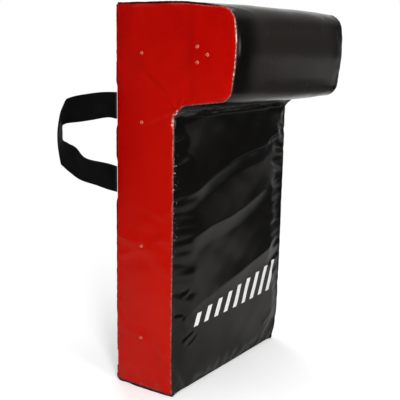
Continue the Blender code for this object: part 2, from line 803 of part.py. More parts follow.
def main():
    clear_scene()
    outline = Outline()
    for name in ("base_panel", "front_panel", "bolster_panel", "back_panel",
                 "back_lower_panel"):
        make_strip(outline, name)
    for side, word in ((-1, "left"), (1, "right")):
        make_side_panel(outline, side, f"side_panel_{word}")
        make_eyelets(side, word)
        make_handle(side, f"handle_{word}")
        make_stop(side, f"zip_stop_{word}")
    make_cores(outline)
    for side, word in ((1, "upper"), (-1, "lower")):
        make_tape(side, f"zip_tape_{word}")
        make_teeth(side, f"zip_teeth_{word}")
    make_slider()
    make_pull()


main()
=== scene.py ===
"""Rugby hit shield: its looks.

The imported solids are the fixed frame. The cover is one closed skin over the same outline,
which a cloth simulation puffs between its seams. Its folds and puckers are then pressed in,
and it is parted at the seams into its panels. All lengths are in metres, angles in degrees.
"""
import json
import math

import bmesh
import bpy
import numpy as np
from mathutils import Matrix, Vector, geometry, kdtree

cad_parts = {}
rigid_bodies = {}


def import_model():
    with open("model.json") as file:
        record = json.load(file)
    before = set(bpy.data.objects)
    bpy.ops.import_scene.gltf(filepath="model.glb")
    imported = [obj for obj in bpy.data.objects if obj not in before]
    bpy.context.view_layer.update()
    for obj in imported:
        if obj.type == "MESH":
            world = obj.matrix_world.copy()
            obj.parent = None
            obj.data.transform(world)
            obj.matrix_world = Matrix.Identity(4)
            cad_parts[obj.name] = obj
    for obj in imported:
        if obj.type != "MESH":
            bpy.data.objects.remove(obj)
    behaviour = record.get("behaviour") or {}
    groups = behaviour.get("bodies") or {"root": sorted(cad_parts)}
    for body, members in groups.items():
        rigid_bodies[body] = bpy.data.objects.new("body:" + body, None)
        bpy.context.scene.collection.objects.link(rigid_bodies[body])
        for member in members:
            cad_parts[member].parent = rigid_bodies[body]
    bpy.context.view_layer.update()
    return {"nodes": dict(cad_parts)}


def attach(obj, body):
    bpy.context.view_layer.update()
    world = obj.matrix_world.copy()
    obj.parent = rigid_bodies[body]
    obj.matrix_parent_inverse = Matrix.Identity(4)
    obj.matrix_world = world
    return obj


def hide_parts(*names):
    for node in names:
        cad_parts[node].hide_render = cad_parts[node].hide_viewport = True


for item in list(bpy.data.objects):
    bpy.data.objects.remove(item, do_unlink=True)
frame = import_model()

# The body between its seams, as in the solids
WIDTH = 0.390
HALF_WIDTH = WIDTH / 2
SLAB_DEPTH = 0.130
BACK = SLAB_DEPTH / 2
FOOT_RISE = 0.004
FOOT_RADIUS = 0.008
FOOT_SEAM_RISE = 0.011
SEAM_HEIGHT = 0.716
TOP_SEAM = FOOT_RISE + SEAM_HEIGHT
BOLSTER_DEPTH = 0.257
UNDERSIDE = TOP_SEAM - 0.172
UNDERSIDE_RISE = 0.013
INNER_CUT = 0.020
NOSE_DROP = 0.070
LOWER_TUCK = 0.010
UPPER_TUCK = 0.008
TOP_FALL = 0.009
TOP_FLAT = 0.140
INNER_RADIUS = 0.008
LOWER_NOSE_RADIUS = 0.024
NOSE_RADIUS = 0.200
UPPER_NOSE_RADIUS = 0.028
TOP_RADIUS = 0.400
LEFT_CORNER_TUCK = 0.003
RIGHT_CORNER_TUCK = 0.018
CORNER_REACH = 0.100
SIDE_CROWN = 0.004
SIDE_CROWN_REACH = 0.065
PANEL_WALL = 0.0008

# The zip and the eyelets, as in the solids
ZIP_HEIGHT = 0.046
ZIP_HALF = 0.0158
TEETH_HALF_LENGTH = HALF_WIDTH - 0.030
TOOTH_PITCH = 0.005
TAPE_MIDDLE = BACK - PANEL_WALL / 2
HOLE_RADIUS = 0.0028
EYELET_COLUMN = [(BACK - SLAB_DEPTH * 0.47, TOP_SEAM * share)
                 for share in (0.145, 0.395, 0.714, 0.883)]
CLUSTER_CENTRE = (BACK - BOLSTER_DEPTH * 0.728, TOP_SEAM * 0.883)
CLUSTER_RADIUS = 0.0145
CLUSTER_ANGLES = (0, 115, 245)

# The hand loops. At each station: the outer edge and the inner edge, each in millimetres
# out from the corner and above the loop's middle, and how far each edge is twisted across.
WEBBING_WIDTH = 0.049
WEBBING_THICKNESS = 0.0022
LOOP_HEIGHT = 0.4713
LOOP_HALF_SPREAD = 0.0687
LOOP_SETBACK = 0.001
LOOP_EDGES = (
    (0.0, 93.2, 0.0, 44.2, 0.0), (34.4, 92.5, 16.8, 46.8, 0.0), (63.3, 87.8, 50.6, 40.3, 1.5),
    (87.2, 82.2, 81.9, 35.2, 7.6), (92.6, 78.6, 88.8, 34.2, 11.0),
    (96.3, 71.1, 93.8, 32.9, 15.3),
    (101.8, 58.0, 99.1, 29.6, 19.9), (105.2, 40.4, 100.4, 22.8, 22.7),
    (107.1, 20.8, 100.7, 15.2, 24.1), (106.9, -0.8, 100.7, 7.8, 23.9),
    (105.5, -19.3, 98.6, 1.5, 21.9), (103.6, -34.0, 90.8, -1.9, 17.0),
    (102.6, -38.2, 88.9, -2.7, 15.7), (99.6, -41.2, 86.0, -4.2, 14.6),
    (87.0, -53.1, 74.6, -10.3, 10.2), (65.3, -66.7, 60.1, -29.3, 14.6),
    (34.5, -78.7, 31.3, -38.1, 11.6), (0.0, -92.8, 0.0, -44.4, 0.0))

# How finely the cover is divided: its pitch, and the marks next to a seam
STEP = 0.0052
SEAM_MARKS = (0.0012, 0.0028, 0.0052)

# Where a side panel's front seam is drawn in below the groove, as y and height
SEAM_PULL = (-0.066, 0.524)

# The camera
CAMERA_TURN = -54.84
CAMERA_TILT = 11.64
CAMERA_ROLL = 1.11
CAMERA_DISTANCE = 1.517
CAMERA_AIM = (-0.0195, 0, 0.344)
CAMERA_LENS = 67.36

# The surroundings: the way from the camera to the backdrop and how far it spreads, the light
# all round, and how far the floor glows for the camera
BACKDROP_WAY = (0.819, 0.573)
BACKDROP_SPREAD = (0.70, 0.95)
ROOM_LIGHT = 0.36
FLOOR_GLOW = 0.25

# What the gloss mirrors: the room, the floor, its far end and the room overhead, and the
# share of the near floor's light that is lost
GLOSS_ROOM = 0.04
GLOSS_FLOOR = 0.03
GLOSS_FAR = 0.38
GLOSS_SKY = 0.45
GLOSS_LOSS = 0.50

# The lamps: each one's place, aim, size and power in watts
LAMPS = {
    "key": ((-1.45, -1.45, 0.90), (0, 0, 0.30), (0.35, 1.4), 38),
    "strip": ((-0.65, -1.95, 1.2), (0, 0, 0.4), (0.2, 1.5), 9),
    "top": ((0.1, -0.2, 2.1), (0, 0, 0.5), (1.4, 1.0), 16),
    "rear": ((1.2, 1.6, 1.4), (0, 0, 0.4), (0.9, 0.9), 16),
}

# The printed motif: its bars, their pitch and lean, where the first one's foot starts, the
# heights of its two ends, how much higher each next bar's lie, and how soft the ends are
MOTIF_BARS = 9
MOTIF_PITCH = 0.0333
MOTIF_LEAN = 0.42
MOTIF_LEFT = -0.146
MOTIF_FOOT = 0.125
MOTIF_HEAD = 0.150
MOTIF_FOOT_STEP = 0.0002
MOTIF_HEAD_STEP = 0.0050
MOTIF_SOFT = 0.0002


# Objects and meshes

def link(name, data):
    """A new object of the scene for a mesh, a lamp or a camera."""
    item = bpy.data.objects.new(name, data)
    bpy.context.collection.objects.link(item)
    return item


def meshed(name, bm):
    """The mesh that was worked on, under its name."""
    mesh = bpy.data.meshes.new(name)
    bm.to_mesh(mesh)
    bm.free()
    return mesh


def coat(mesh, materials, angle=None):
    """Give a mesh its materials and smooth shading, with edges sharper than an angle kept."""
    if materials is not None:
        mesh.materials.clear()
        for material in materials:
            mesh.materials.append(material)
    mesh.shade_smooth()
    if angle is not None:
        mesh.set_sharp_from_angle(angle=math.radians(angle))


def evaluated(item):
    """The object's mesh as its modifiers leave it."""
    bpy.context.view_layer.update()
    graph = bpy.context.evaluated_depsgraph_get()
    return bpy.data.meshes.new_from_object(item.evaluated_get(graph))


def baked(item, materials=None, angle=None):
    """The object with its modifiers made part of its mesh."""
    mesh = evaluated(item)
    item.modifiers.clear()
    old = item.data
    item.data = mesh
    mesh.name = item.name
    coat(mesh, materials, angle)
    if old.users == 0:
        bpy.data.meshes.remove(old)
    return item


def walled(item, thickness):
    """Give a cloth its thickness, inwards."""
    wall = item.modifiers.new("wall", "SOLIDIFY")
    wall.thickness = thickness
    wall.offset = -1


def column(items, word, width=1, kind=float):
    """One fact of each of a mesh's vertices, faces or corners, as an array."""
    flat = np.empty(len(items) * width, kind)
    items.foreach_get(word, flat)
    return flat if width == 1 else flat.reshape(-1, width)


def fit(item, slot, body, *nodes):
    """The piece's finish slot, the nodes that it stands for and the body that it rides on.
    The finish slot is not used.
    """
    if nodes:
        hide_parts(*nodes)
    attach(item, body)


# Nodes

def operator(operation):
    """An arithmetic operator and its reflected form, made of one kind of Math node."""
    def forward(number, other):
        return number.nodes.math(operation, number, other)

    def reflected(number, other):
        return number.nodes.math(operation, other, number)

    return forward, reflected


class Number:
    """A value in a node tree. Each arithmetic operator adds its Math node."""

    def __init__(self, nodes, socket):
        self.nodes = nodes
        self.socket = socket

    __add__, __radd__ = operator("ADD")
    __sub__, __rsub__ = operator("SUBTRACT")
    __mul__, __rmul__ = operator("MULTIPLY")
    __truediv__, __rtruediv__ = operator("DIVIDE")

    def __abs__(self):
        return self.nodes.math("ABSOLUTE", self)


class Nodes:
    """A node tree that is written as expressions."""

    def __init__(self, tree):
        self.tree = tree

    def node(self, kind, settings=None, sockets=None):
        """Add a node: its settings first, then the values or links of its sockets."""
        made = self.tree.nodes.new(kind)
        for name, value in (settings or {}).items():
            setattr(made, name, value)
        for key, value in (sockets or {}).items():
            self.put(made.inputs[key], value)
        return made

    def put(self, socket, value):
        """Set a socket or link to it. A node stands for its first output."""
        if isinstance(value, bpy.types.Node):
            value = value.outputs[0]
        if isinstance(value, Number):
            value = value.socket
        if isinstance(value, bpy.types.NodeSocket):
            self.tree.links.new(value, socket)
            return
        if socket.type == "RGBA" and len(value) == 3:
            value = (*value, 1)
        socket.default_value = value

    def math(self, operation, *values):
        made = self.node("ShaderNodeMath", {"operation": operation}, dict(enumerate(values)))
        return Number(self, made.outputs[0])

    def parts(self, vector):
        split = self.node("ShaderNodeSeparateXYZ", None, {0: vector})
        return [Number(self, socket) for socket in split.outputs]

    def rise(self, value, low, high):
        """A smooth step from 0 at low to 1 at high."""
        made = self.node("ShaderNodeMapRange", {"interpolation_type": "SMOOTHSTEP"},
                         {"Value": value, "From Min": low, "From Max": high})
        return Number(self, made.outputs[0])

    def fall(self, value, low, high):
        """A smooth step from 1 at low to 0 at high."""
        return 1 - self.rise(value, low, high)

    def band(self, value, low, full, ebb, high):
        """Up from low to full, and down again from ebb to high."""
        return self.rise(value, low, full) * self.fall(value, ebb, high)

    def rays(self):
        """1 for rays from the camera or through glass, and 1 for mirrored rays."""
        path = self.node("ShaderNodeLightPath").outputs
        seen = self.math("MAXIMUM", Number(self, path["Is Camera Ray"]),
                         Number(self, path["Is Transmission Ray"]))
        return seen, Number(self, path["Is Glossy Ray"])


class Finish(Nodes):
    """A material under construction."""

    def __init__(self, name):
        self.material = bpy.data.materials.new(name)
        self.material.use_nodes = True
        super().__init__(self.material.node_tree)
        self.tree.nodes.clear()

    def place(self):
        """Object coordinates."""
        return self.node("ShaderNodeTexCoord").outputs["Object"]

    def along(self, name):
        """A UV map, in metres."""
        return self.node("ShaderNodeUVMap", {"uv_map": name}).outputs[0]

    def measure(self, name):
        """A number that the mesh keeps at each point."""
        made = self.node("ShaderNodeAttribute", {"attribute_name": name})
        return Number(self, made.outputs["Fac"])

    def noise(self, vector, scale, detail=2.0, roughness=0.5, distortion=0.0):
        made = self.node("ShaderNodeTexNoise", None, {
            "Vector": vector, "Scale": scale, "Detail": detail, "Roughness": roughness,
            "Distortion": distortion})
        return Number(self, made.outputs[0])

    def cells(self, vector, scale):
        made = self.node("ShaderNodeTexVoronoi", None, {"Vector": vector, "Scale": scale})
        return Number(self, made.outputs["Distance"])

    def scaled(self, vector, factors):
        made = self.node("ShaderNodeMapping", {"vector_type": "POINT"},
                         {"Vector": vector, "Scale": factors})
        return made.outputs[0]

    def blended(self, share, first, second):
        """One colour to another."""
        made = self.node("ShaderNodeMix", {"data_type": "RGBA"},
                         {0: share, 6: first, 7: second})
        return made.outputs[2]

    def waves(self, value, length):
        """A sine wave from 0 to 1."""
        return self.math("SINE", value * (2 * math.pi / length)) * 0.5 + 0.5

    def bumped(self, height, distance):
        sockets = {"Strength": 1.0, "Distance": distance, "Height": height}
        return self.node("ShaderNodeBump", None, sockets).outputs[0]

    def glowing(self, strength):
        """White light of a strength."""
        return self.node("ShaderNodeEmission", None, {"Color": (1, 1, 1), "Strength": strength})

    def mixed(self, share, first, second):
        """One shader to another."""
        return self.node("ShaderNodeMixShader", None, {0: share, 1: first, 2: second})

    def surfaced(self, **sockets):
        """Close the tree with the surface shader; underscores stand for spaces."""
        named = {name.replace("_", " "): value for name, value in sockets.items()}
        shader = self.node("ShaderNodeBsdfPrincipled", None, named)
        self.node("ShaderNodeOutputMaterial", None, {0: shader})
        return self.material


# The finishes

def motif(f, place):
    """The plain white motif printed low on the strike face: slanted bars that grow."""
    x, y, z = f.parts(place)
    slanted = (x - MOTIF_LEFT - (z - MOTIF_FOOT) * MOTIF_LEAN) / MOTIF_PITCH
    number = f.math("FLOOR", slanted)
    foot = MOTIF_FOOT + number * MOTIF_FOOT_STEP
    head = MOTIF_HEAD + number * MOTIF_HEAD_STEP
    inside = f.fall(abs(slanted - number - 0.5), 0.20, 0.215)
    inside = inside * f.band(z, foot - MOTIF_SOFT, foot + MOTIF_SOFT,
                             head - MOTIF_SOFT, head + MOTIF_SOFT)
    inside = inside * f.band(number, -0.6, -0.4, MOTIF_BARS - 0.6, MOTIF_BARS - 0.4)
    wear_and_sheen = f.noise(place, 320, 4, 0.7)
    return inside * f.fall(y, -0.055, -0.050) * f.fall(wear_and_sheen, 0.68, 0.74)


def painted_glints(f, place, seam):
    """Painted highlights: pale specks next to the strike face's left seam, at half its height.
    """
    x, _, z = f.parts(place)
    specks = f.rise(f.noise(place, 300, 2, 0.5), 0.66, 0.69)
    near = f.fall(seam, 0.006, 0.013) * f.fall(x, -0.02, 0.0)
    return specks * near * f.band(z, 0.25, 0.33, 0.47, 0.51)


def painted_seam_highlight(f, place, seam):
    """The painted highlight along a seam, broken into specks: most at the nose and where the
    seam is drawn in, less at the front."""
    _, y, z = f.parts(place)
    broken = f.rise(f.noise(place, 260, 4, 0.7), 0.47, 0.58)
    nose = f.band(z, 0.585, 0.615, 0.670, 0.700) * f.fall(y, -0.175, -0.160)
    front = f.fall(y, -0.058, -0.050)
    ahead = y - SEAM_PULL[0]
    above = z - SEAM_PULL[1]
    drawn = f.fall(ahead * ahead + above * above, 0.00008, 0.0005)
    narrow = f.fall(seam - drawn * 0.003, 0.0008, 0.0020)
    return narrow * broken * (nose * 0.85 + front * 0.20 + drawn * 0.7)


def coated_cloth(name, colour, faded_and_lit, seam_colour, seam_highlight_colour, specular, gloss, uneven,
                 printed=False, wear_and_sheen=None, tint=(1.0, 0.92, 0.86)):
    """Vinyl-coated cloth: a gloss coat over a fine weave that shows through it. It is painted
    lighter lower down, as painted light. Where a sheen colour is given, the cloth is painted
    with it away from the seams, as a painted reflection. A painted highlight breaks along the
    seams."""
    f = Finish(name)
    place = f.place()
    u, v, _ = f.parts(f.along("cloth"))
    z = f.parts(place)[2]
    seam = f.measure("seam")

    patches = f.noise(place, 7, 3, 0.55)
    rubbed = f.noise(f.scaled(place, (60, 60, 22)), 1, 4, 0.65)
    scuffs = f.rise(rubbed, 0.62, 0.74)
    dust = f.fall(z, 0.0, 0.09) * f.rise(f.noise(place, 45, 5, 0.6), 0.42, 0.75)
    by_seam = f.fall(seam, 0.0004, 0.0026)
    # The share of the second colour: random patches and scuffs, and painted light that makes the
    # cloth lighter lower down.
    pale = f.rise(patches, 0.3, 0.7) * 0.25 + f.fall(z, 0.08, 0.66) * 0.55 + scuffs * 0.2
    shade = f.blended(pale, colour, faded_and_lit)
    if wear_and_sheen is not None:
        # Painted reflection: the cloth is painted with the sheen colour away from its seams.
        hit = f.rise(seam, 0.022, 0.070)
        shade = f.blended(hit * (0.75 + patches * 0.4), shade, wear_and_sheen)
    shade = f.blended(by_seam * 0.55, shade, seam_colour)
    # Painted highlight along the seams: pink on the red cloth, pale grey on the black.
    shade = f.blended(painted_seam_highlight(f, place, seam), shade, seam_highlight_colour)
    shade = f.blended(dust * 0.04, shade, (0.30, 0.27, 0.24))
    rough = gloss + patches * 0.05 + scuffs * 0.06 + dust * 0.12 + by_seam * 0.12

    weave = f.waves(u, 0.0011) * f.waves(v, 0.0011)
    grain = f.noise(place, 1400, 3, 0.6)
    crumple = 1 - abs(f.noise(place, 34, 3, 0.5, 0.6) * 2 - 1)
    dents = f.noise(place, 16, 2, 0.5)
    needle = f.rise(f.waves(f.measure("along"), 0.0042), 0.80, 0.98)
    holes = needle * f.fall(abs(seam - 0.0016), 0.0002, 0.0008)
    height = weave * 0.00003 + grain * 0.000022 - holes * 0.0003
    height = height + crumple * (0.00045 * uneven) + dents * (0.0006 * uneven)
    if printed:
        # Painted highlights: pale specks by the strike face's left seam.
        shade = f.blended(painted_glints(f, place, seam), shade, (0.60, 0.59, 0.58))
        ink = motif(f, place)
        shade = f.blended(ink, shade, (0.68, 0.68, 0.67))
        rough = rough + ink * 0.12
        height = height + ink * 0.00006
    return f.surfaced(Base_Color=shade, Roughness=rough, Normal=f.bumped(height, 1.0),
                      Specular_IOR_Level=specular, Specular_Tint=tint)


def foam_finish():
    f = Finish("foam")
    place = f.place()
    pores = f.cells(place, 520)
    tone = f.noise(place, 30, 3, 0.6)
    shade = f.blended(tone, (0.34, 0.33, 0.30), (0.44, 0.43, 0.39))
    shade = f.blended(f.rise(pores, 0.25, 0.7), (0.20, 0.19, 0.17), shade)
    normal = f.bumped(pores, 0.0006)
    return f.surfaced(Base_Color=shade, Roughness=0.95, Normal=normal)


def webbing_finish():
    """Heavy polypropylene webbing: ribs along it, with chevrons of crossing threads."""
    f = Finish("webbing")
    u, v, _ = f.parts(f.along("strap"))
    rib = abs(f.math("PINGPONG", v, 0.0013) / 0.0013 - 0.5) * 2
    chevron = f.math("PINGPONG", v, 0.0026)
    threads = f.waves(u + chevron * 0.9, 0.0021)
    fray = f.noise(f.place(), 900, 3, 0.7)
    wear_and_sheen = f.noise(f.place(), 22, 3, 0.6)
    edge = f.rise(abs(v - WEBBING_WIDTH / 2), 0.0215, 0.0240)
    height = threads * (1 - rib * 0.6) + fray * 0.35
    shade = f.blended(f.rise(height, 0.2, 1.0), (0.0007, 0.0007, 0.0008),
                      (0.0030, 0.0030, 0.0032))
    shade = f.blended(f.rise(wear_and_sheen, 0.5, 0.75) * 0.4 + edge * 0.25, shade,
                      (0.0055, 0.0053, 0.0053))
    rough = 0.52 + fray * 0.25
    normal = f.bumped(height, 0.0007)
    return f.surfaced(Base_Color=shade, Roughness=rough, Normal=normal,
                      Sheen_Weight=0.01, Sheen_Roughness=0.4, Specular_IOR_Level=0.05)


def tape_finish():
    f = Finish("tape")
    u, v, _ = f.parts(f.along("strap"))
    ribs = f.waves(v, 0.0011)
    threads = f.waves(u + f.math("PINGPONG", v, 0.0011) * 1.2, 0.0009)
    fray = f.noise(f.place(), 1200, 3, 0.7)
    height = ribs * 0.6 + threads * 0.5 + fray * 0.3
    shade = f.blended(f.rise(height, 0.3, 1.2), (0.006, 0.006, 0.006), (0.024, 0.024, 0.025))
    normal = f.bumped(height, 0.0003)
    return f.surfaced(Base_Color=shade, Roughness=0.85, Normal=normal, Sheen_Weight=0.15)


def thread_finish(name, dark, light):
    f = Finish(name)
    place = f.place()
    x, y, z = f.parts(place)
    twist = f.waves(x + y + z, 0.0006)
    fray = f.noise(place, 2600, 2, 0.6)
    shade = f.blended(twist * 0.6 + fray * 0.4, dark, light)
    normal = f.bumped(twist + fray * 0.5, 0.00012)
    return f.surfaced(Base_Color=shade, Roughness=0.55, Normal=normal, Sheen_Weight=0.2)


def moulded_finish():
    """The zip's moulded plastic teeth."""
    f = Finish("teeth")
    place = f.place()
    speckle = f.noise(place, 1500, 3, 0.6)
    rubbed = f.rise(f.noise(place, 60, 4, 0.7), 0.5, 0.7)
    shade = f.blended(rubbed, (0.012, 0.012, 0.012), (0.030, 0.030, 0.031))
    rough = 0.34 + speckle * 0.15 + rubbed * 0.12
    return f.surfaced(Base_Color=shade, Roughness=rough,
                      Normal=f.bumped(speckle, 0.00004))


def metal_finish(name, bright, dull, gloss, tarnish_colour, metal=1.0):
    """Plated metal, brushed by handling, with tarnish in patches."""
    f = Finish(name)
    place = f.place()
    brush = f.noise(f.scaled(place, (300, 2400, 2400)), 1, 3, 0.6)
    patches = f.noise(place, 210, 4, 0.65)
    tarnish = f.rise(patches, 0.55, 0.75)
    shade = f.blended(brush, bright, dull)
    shade = f.blended(tarnish * 0.5, shade, tarnish_colour)
    rough = gloss + brush * 0.12 + tarnish * 0.18
    return f.surfaced(Base_Color=shade, Roughness=rough, Metallic=metal,
                      Normal=f.bumped(brush, 0.00003))


def make_finishes():
    # Each cloth's colours: its own; the lighter one that patches, scuffs and painted light lower
    # down lean to; the one next to its seams; and its painted seam highlight.
    black = ((0.0019, 0.0017, 0.0016), (0.0032, 0.0029, 0.0027), (0.0012, 0.0011, 0.0010),
             (0.05, 0.048, 0.046))
    return {
        "red_cover": coated_cloth(
            "red_cover", (0.315, 0.0008, 0.0002), (0.44, 0.0046, 0.0011),
            (0.16, 0.0008, 0.0003), (0.80, 0.42, 0.36), specular=0.20, gloss=0.17,
            uneven=0.8, tint=(1.0, 0.74, 0.48)),
        "black_cover": coated_cloth(
            "black_cover", *black, specular=0.42, gloss=0.15, uneven=0.20),
        "front_cover": coated_cloth(
            "front_cover", *black, specular=0.42, gloss=0.15, uneven=0.20, printed=True),
        # The bolster's last colour is a painted reflection that lightens it away from its seams.
        "bolster_cover": coated_cloth(
            "bolster_cover", *black, specular=0.36, gloss=0.22, uneven=0.15,
            wear_and_sheen=(0.0125, 0.0108, 0.0093)),
        "foam": foam_finish(),
        "webbing": webbing_finish(),
        "tape": tape_finish(),
        "teeth": moulded_finish(),
        "thread": thread_finish("thread", (0.0025, 0.0025, 0.0025), (0.010, 0.010, 0.0105)),
        "zip_metal": metal_finish(
            "zip_metal", (0.10, 0.10, 0.105), (0.06, 0.06, 0.063), 0.28,
            (0.030, 0.029, 0.028)),
        # The eyelets' red-orange tint is a painted reflection of the red cloth round them.
        "eyelet_metal": metal_finish(
            "eyelet_metal", (0.66, 0.17, 0.09), (0.50, 0.11, 0.06), 0.45,
            (0.26, 0.05, 0.03), 0.25),
    }


# Camera, lamps and floor

def set_camera():
    turn = math.radians(CAMERA_TURN)
    tilt = math.radians(CAMERA_TILT)
    roll = math.radians(CAMERA_ROLL)
    behind = Vector((math.sin(turn) * math.cos(tilt), -math.cos(turn) * math.cos(tilt),
                     math.sin(tilt)))
    level = (-behind).cross(Vector((0, 0, 1))).normalized()
    upright = level.cross(-behind)
    right = level * math.cos(roll) + upright * math.sin(roll)
    up = upright * math.cos(roll) - level * math.sin(roll)
    data = bpy.data.cameras.new("camera")
    data.sensor_width = 36
    data.lens = CAMERA_LENS
    camera = link("camera", data)
    matrix = Matrix((right, up, behind)).transposed().to_4x4()
    matrix.translation = Vector(CAMERA_AIM) + behind * CAMERA_DISTANCE
    camera.matrix_world = matrix
    bpy.context.scene.camera = camera


def add_lamp(name, place, aim, size, power):
    data = bpy.data.lights.new(name, "AREA")
    data.shape = "RECTANGLE"
    data.size, data.size_y = size
    data.energy = power
    lamp = link(name, data)
    lamp.location = place
    lamp.rotation_euler = (Vector(aim) - Vector(place)).to_track_quat("-Z", "Y").to_euler()


def set_surroundings():
    """Soft white light all round and a white backdrop. In front of the shield, what a gloss
    surface mirrors is a dim room."""
    world = bpy.data.worlds.new("studio")
    bpy.context.scene.world = world
    world.use_nodes = True
    nodes = Nodes(world.node_tree)
    nodes.tree.nodes.clear()
    seen, mirrored = nodes.rays()
    x, y, z = nodes.parts(nodes.node("ShaderNodeTexCoord").outputs["Generated"])
    toward = x * BACKDROP_WAY[0] + y * BACKDROP_WAY[1]
    backdrop = nodes.math("MAXIMUM", nodes.rise(toward, *BACKDROP_SPREAD),
                          nodes.rise(z, 0.25, 0.70) * GLOSS_SKY)
    mirror = backdrop * (1 - GLOSS_ROOM) + GLOSS_ROOM
    level = mirrored * mirror + (1 - mirrored) * ROOM_LIGHT
    level = seen + (1 - seen) * level
    light = nodes.node("ShaderNodeBackground", None, {"Strength": level, "Color": (1, 1, 1)})
    nodes.node("ShaderNodeOutputWorld", None, {0: light})


def add_floor():
    """A pale floor that keeps the shadow near the shield and turns white further off. In the
    gloss it is white towards the backdrop and dim elsewhere."""
    f = Finish("studio_floor")
    place = f.place()
    x, y, _ = f.parts(place)
    off = f.math("SQRT", x * x + y * y)
    toward = (x * BACKDROP_WAY[0] + y * BACKDROP_WAY[1]) / (off + 0.001)
    behind = f.rise(toward, *BACKDROP_SPREAD)
    seen, mirrored = f.rays()
    pale = f.blended(f.noise(place, 12, 2, 0.5), (0.80, 0.80, 0.80), (0.83, 0.83, 0.83))
    matt = f.node("ShaderNodeBsdfDiffuse", None, {"Color": pale})
    near = f.node("ShaderNodeAddShader", None, {0: matt, 1: f.glowing(seen * FLOOR_GLOW)})
    bright = f.rise(off, 0.45, 1.3) * f.math("MAXIMUM", seen, mirrored * behind)
    lit = f.mixed(bright, near, f.glowing(1.0))
    far = f.rise(off, 2.3, 3.2) * f.rise(toward, 0.05, 0.38)
    gloom = f.glowing(far * (GLOSS_FAR - GLOSS_FLOOR) + GLOSS_FLOOR)
    # In the gloss, the floor is painted dimmer next to the shield's foot, a painted shadow.
    away = f.math("MAXIMUM", f.rise(off, 0.62, 1.25), f.fall(off, 0.14, 0.32) * 0.55)
    away = f.math("MAXIMUM", away, GLOSS_LOSS) * mirrored * (1 - behind)
    f.node("ShaderNodeOutputMaterial", None, {0: f.mixed(away, lit, gloom)})
    bm = bmesh.new()
    bmesh.ops.create_circle(bm, cap_ends=True, segments=64, radius=6.0)
    mesh = meshed("floor", bm)
    mesh.materials.append(f.material)
    floor = link("floor", mesh)


# The end outline

def from_back(depth, height):
    """A place on the end outline, by its depth from the back."""
    return np.array((BACK - depth, height))


FRONT_FOOT = from_back(SLAB_DEPTH, FOOT_RISE)
GROOVE = from_back(SLAB_DEPTH + INNER_CUT / 2, UNDERSIDE - INNER_CUT / 2)
EYELETS = EYELET_COLUMN + [
    (CLUSTER_CENTRE[0] - math.cos(math.radians(angle)) * CLUSTER_RADIUS,
     CLUSTER_CENTRE[1] + math.sin(math.radians(angle)) * CLUSTER_RADIUS)
    for angle in CLUSTER_ANGLES]


def fillet(before, corner, after, radius):
    """Points of the arc that rounds a corner, a millimetre or two apart."""
    inward = (before - corner) / np.linalg.norm(before - corner)
    outward = (after - corner) / np.linalg.norm(after - corner)
    half = math.acos(max(-1, min(1, float(inward @ outward)))) / 2
    middle = (inward + outward) / np.linalg.norm(inward + outward)
    centre = corner + middle * (radius / math.sin(half))
    start = corner + inward * (radius / math.tan(half)) - centre
    turn = math.pi - 2 * half
    side = inward[0] * outward[1] - inward[1] * outward[0]
    turn = turn if side < 0 else -turn
    count = max(4, math.ceil(abs(turn) * radius / 0.0015))
    arc = []
    for i in range(count + 1):
        angle = turn * i / count
        c, s = math.cos(angle), math.sin(angle)
        arc.append(centre + np.array((c * start[0] - s * start[1],
                                      s * start[0] + c * start[1])))
    return arc


def rounded(corners, radii):
    """A run of lines whose inner corners are rounded."""
    run = [corners[0]]
    for i in range(1, len(corners) - 1):
        run += fillet(corners[i - 1], corners[i], corners[i + 1], radii[i - 1])
    run.append(corners[-1])
    return np.array(run)


def marks(length):
    """Distances at which a panel is divided, close together next to its seams."""
    inner = length - 2 * SEAM_MARKS[-1]
    count = max(1, round(inner / STEP))
    middle = np.linspace(SEAM_MARKS[-1], length - SEAM_MARKS[-1], count + 1)
    near = np.array((0.0, *SEAM_MARKS[:-1]))
    return np.concatenate((near, middle, (length - near)[::-1]))


def swell(share, power):
    """A crown: 1 in the middle, 0 at a share of 1, squarer with a higher power."""
    return np.sqrt(np.maximum(0, 1 - np.abs(share) ** power))


class Run:
    """One panel's stretch of the end outline, and how far and how squarely it is crowned."""

    def __init__(self, name, line, crown, power):
        self.name, self.line, self.crown, self.power = name, line, crown, power
        steps = np.linalg.norm(np.diff(line, axis=0), axis=1)
        self.places = np.concatenate(((0.0,), np.cumsum(steps)))
        self.length = self.places[-1]

    def at(self, distance):
        distance = np.clip(distance, 0, self.length)
        return np.stack([np.interp(distance, self.places, self.line[:, k]) for k in (0, 1)],
                        axis=-1)

    def outward(self, distance):
        ahead = self.at(distance + 0.0015) - self.at(distance - 0.0015)
        ahead /= np.linalg.norm(ahead, axis=-1, keepdims=True)
        return np.stack((-ahead[..., 1], ahead[..., 0]), axis=-1)


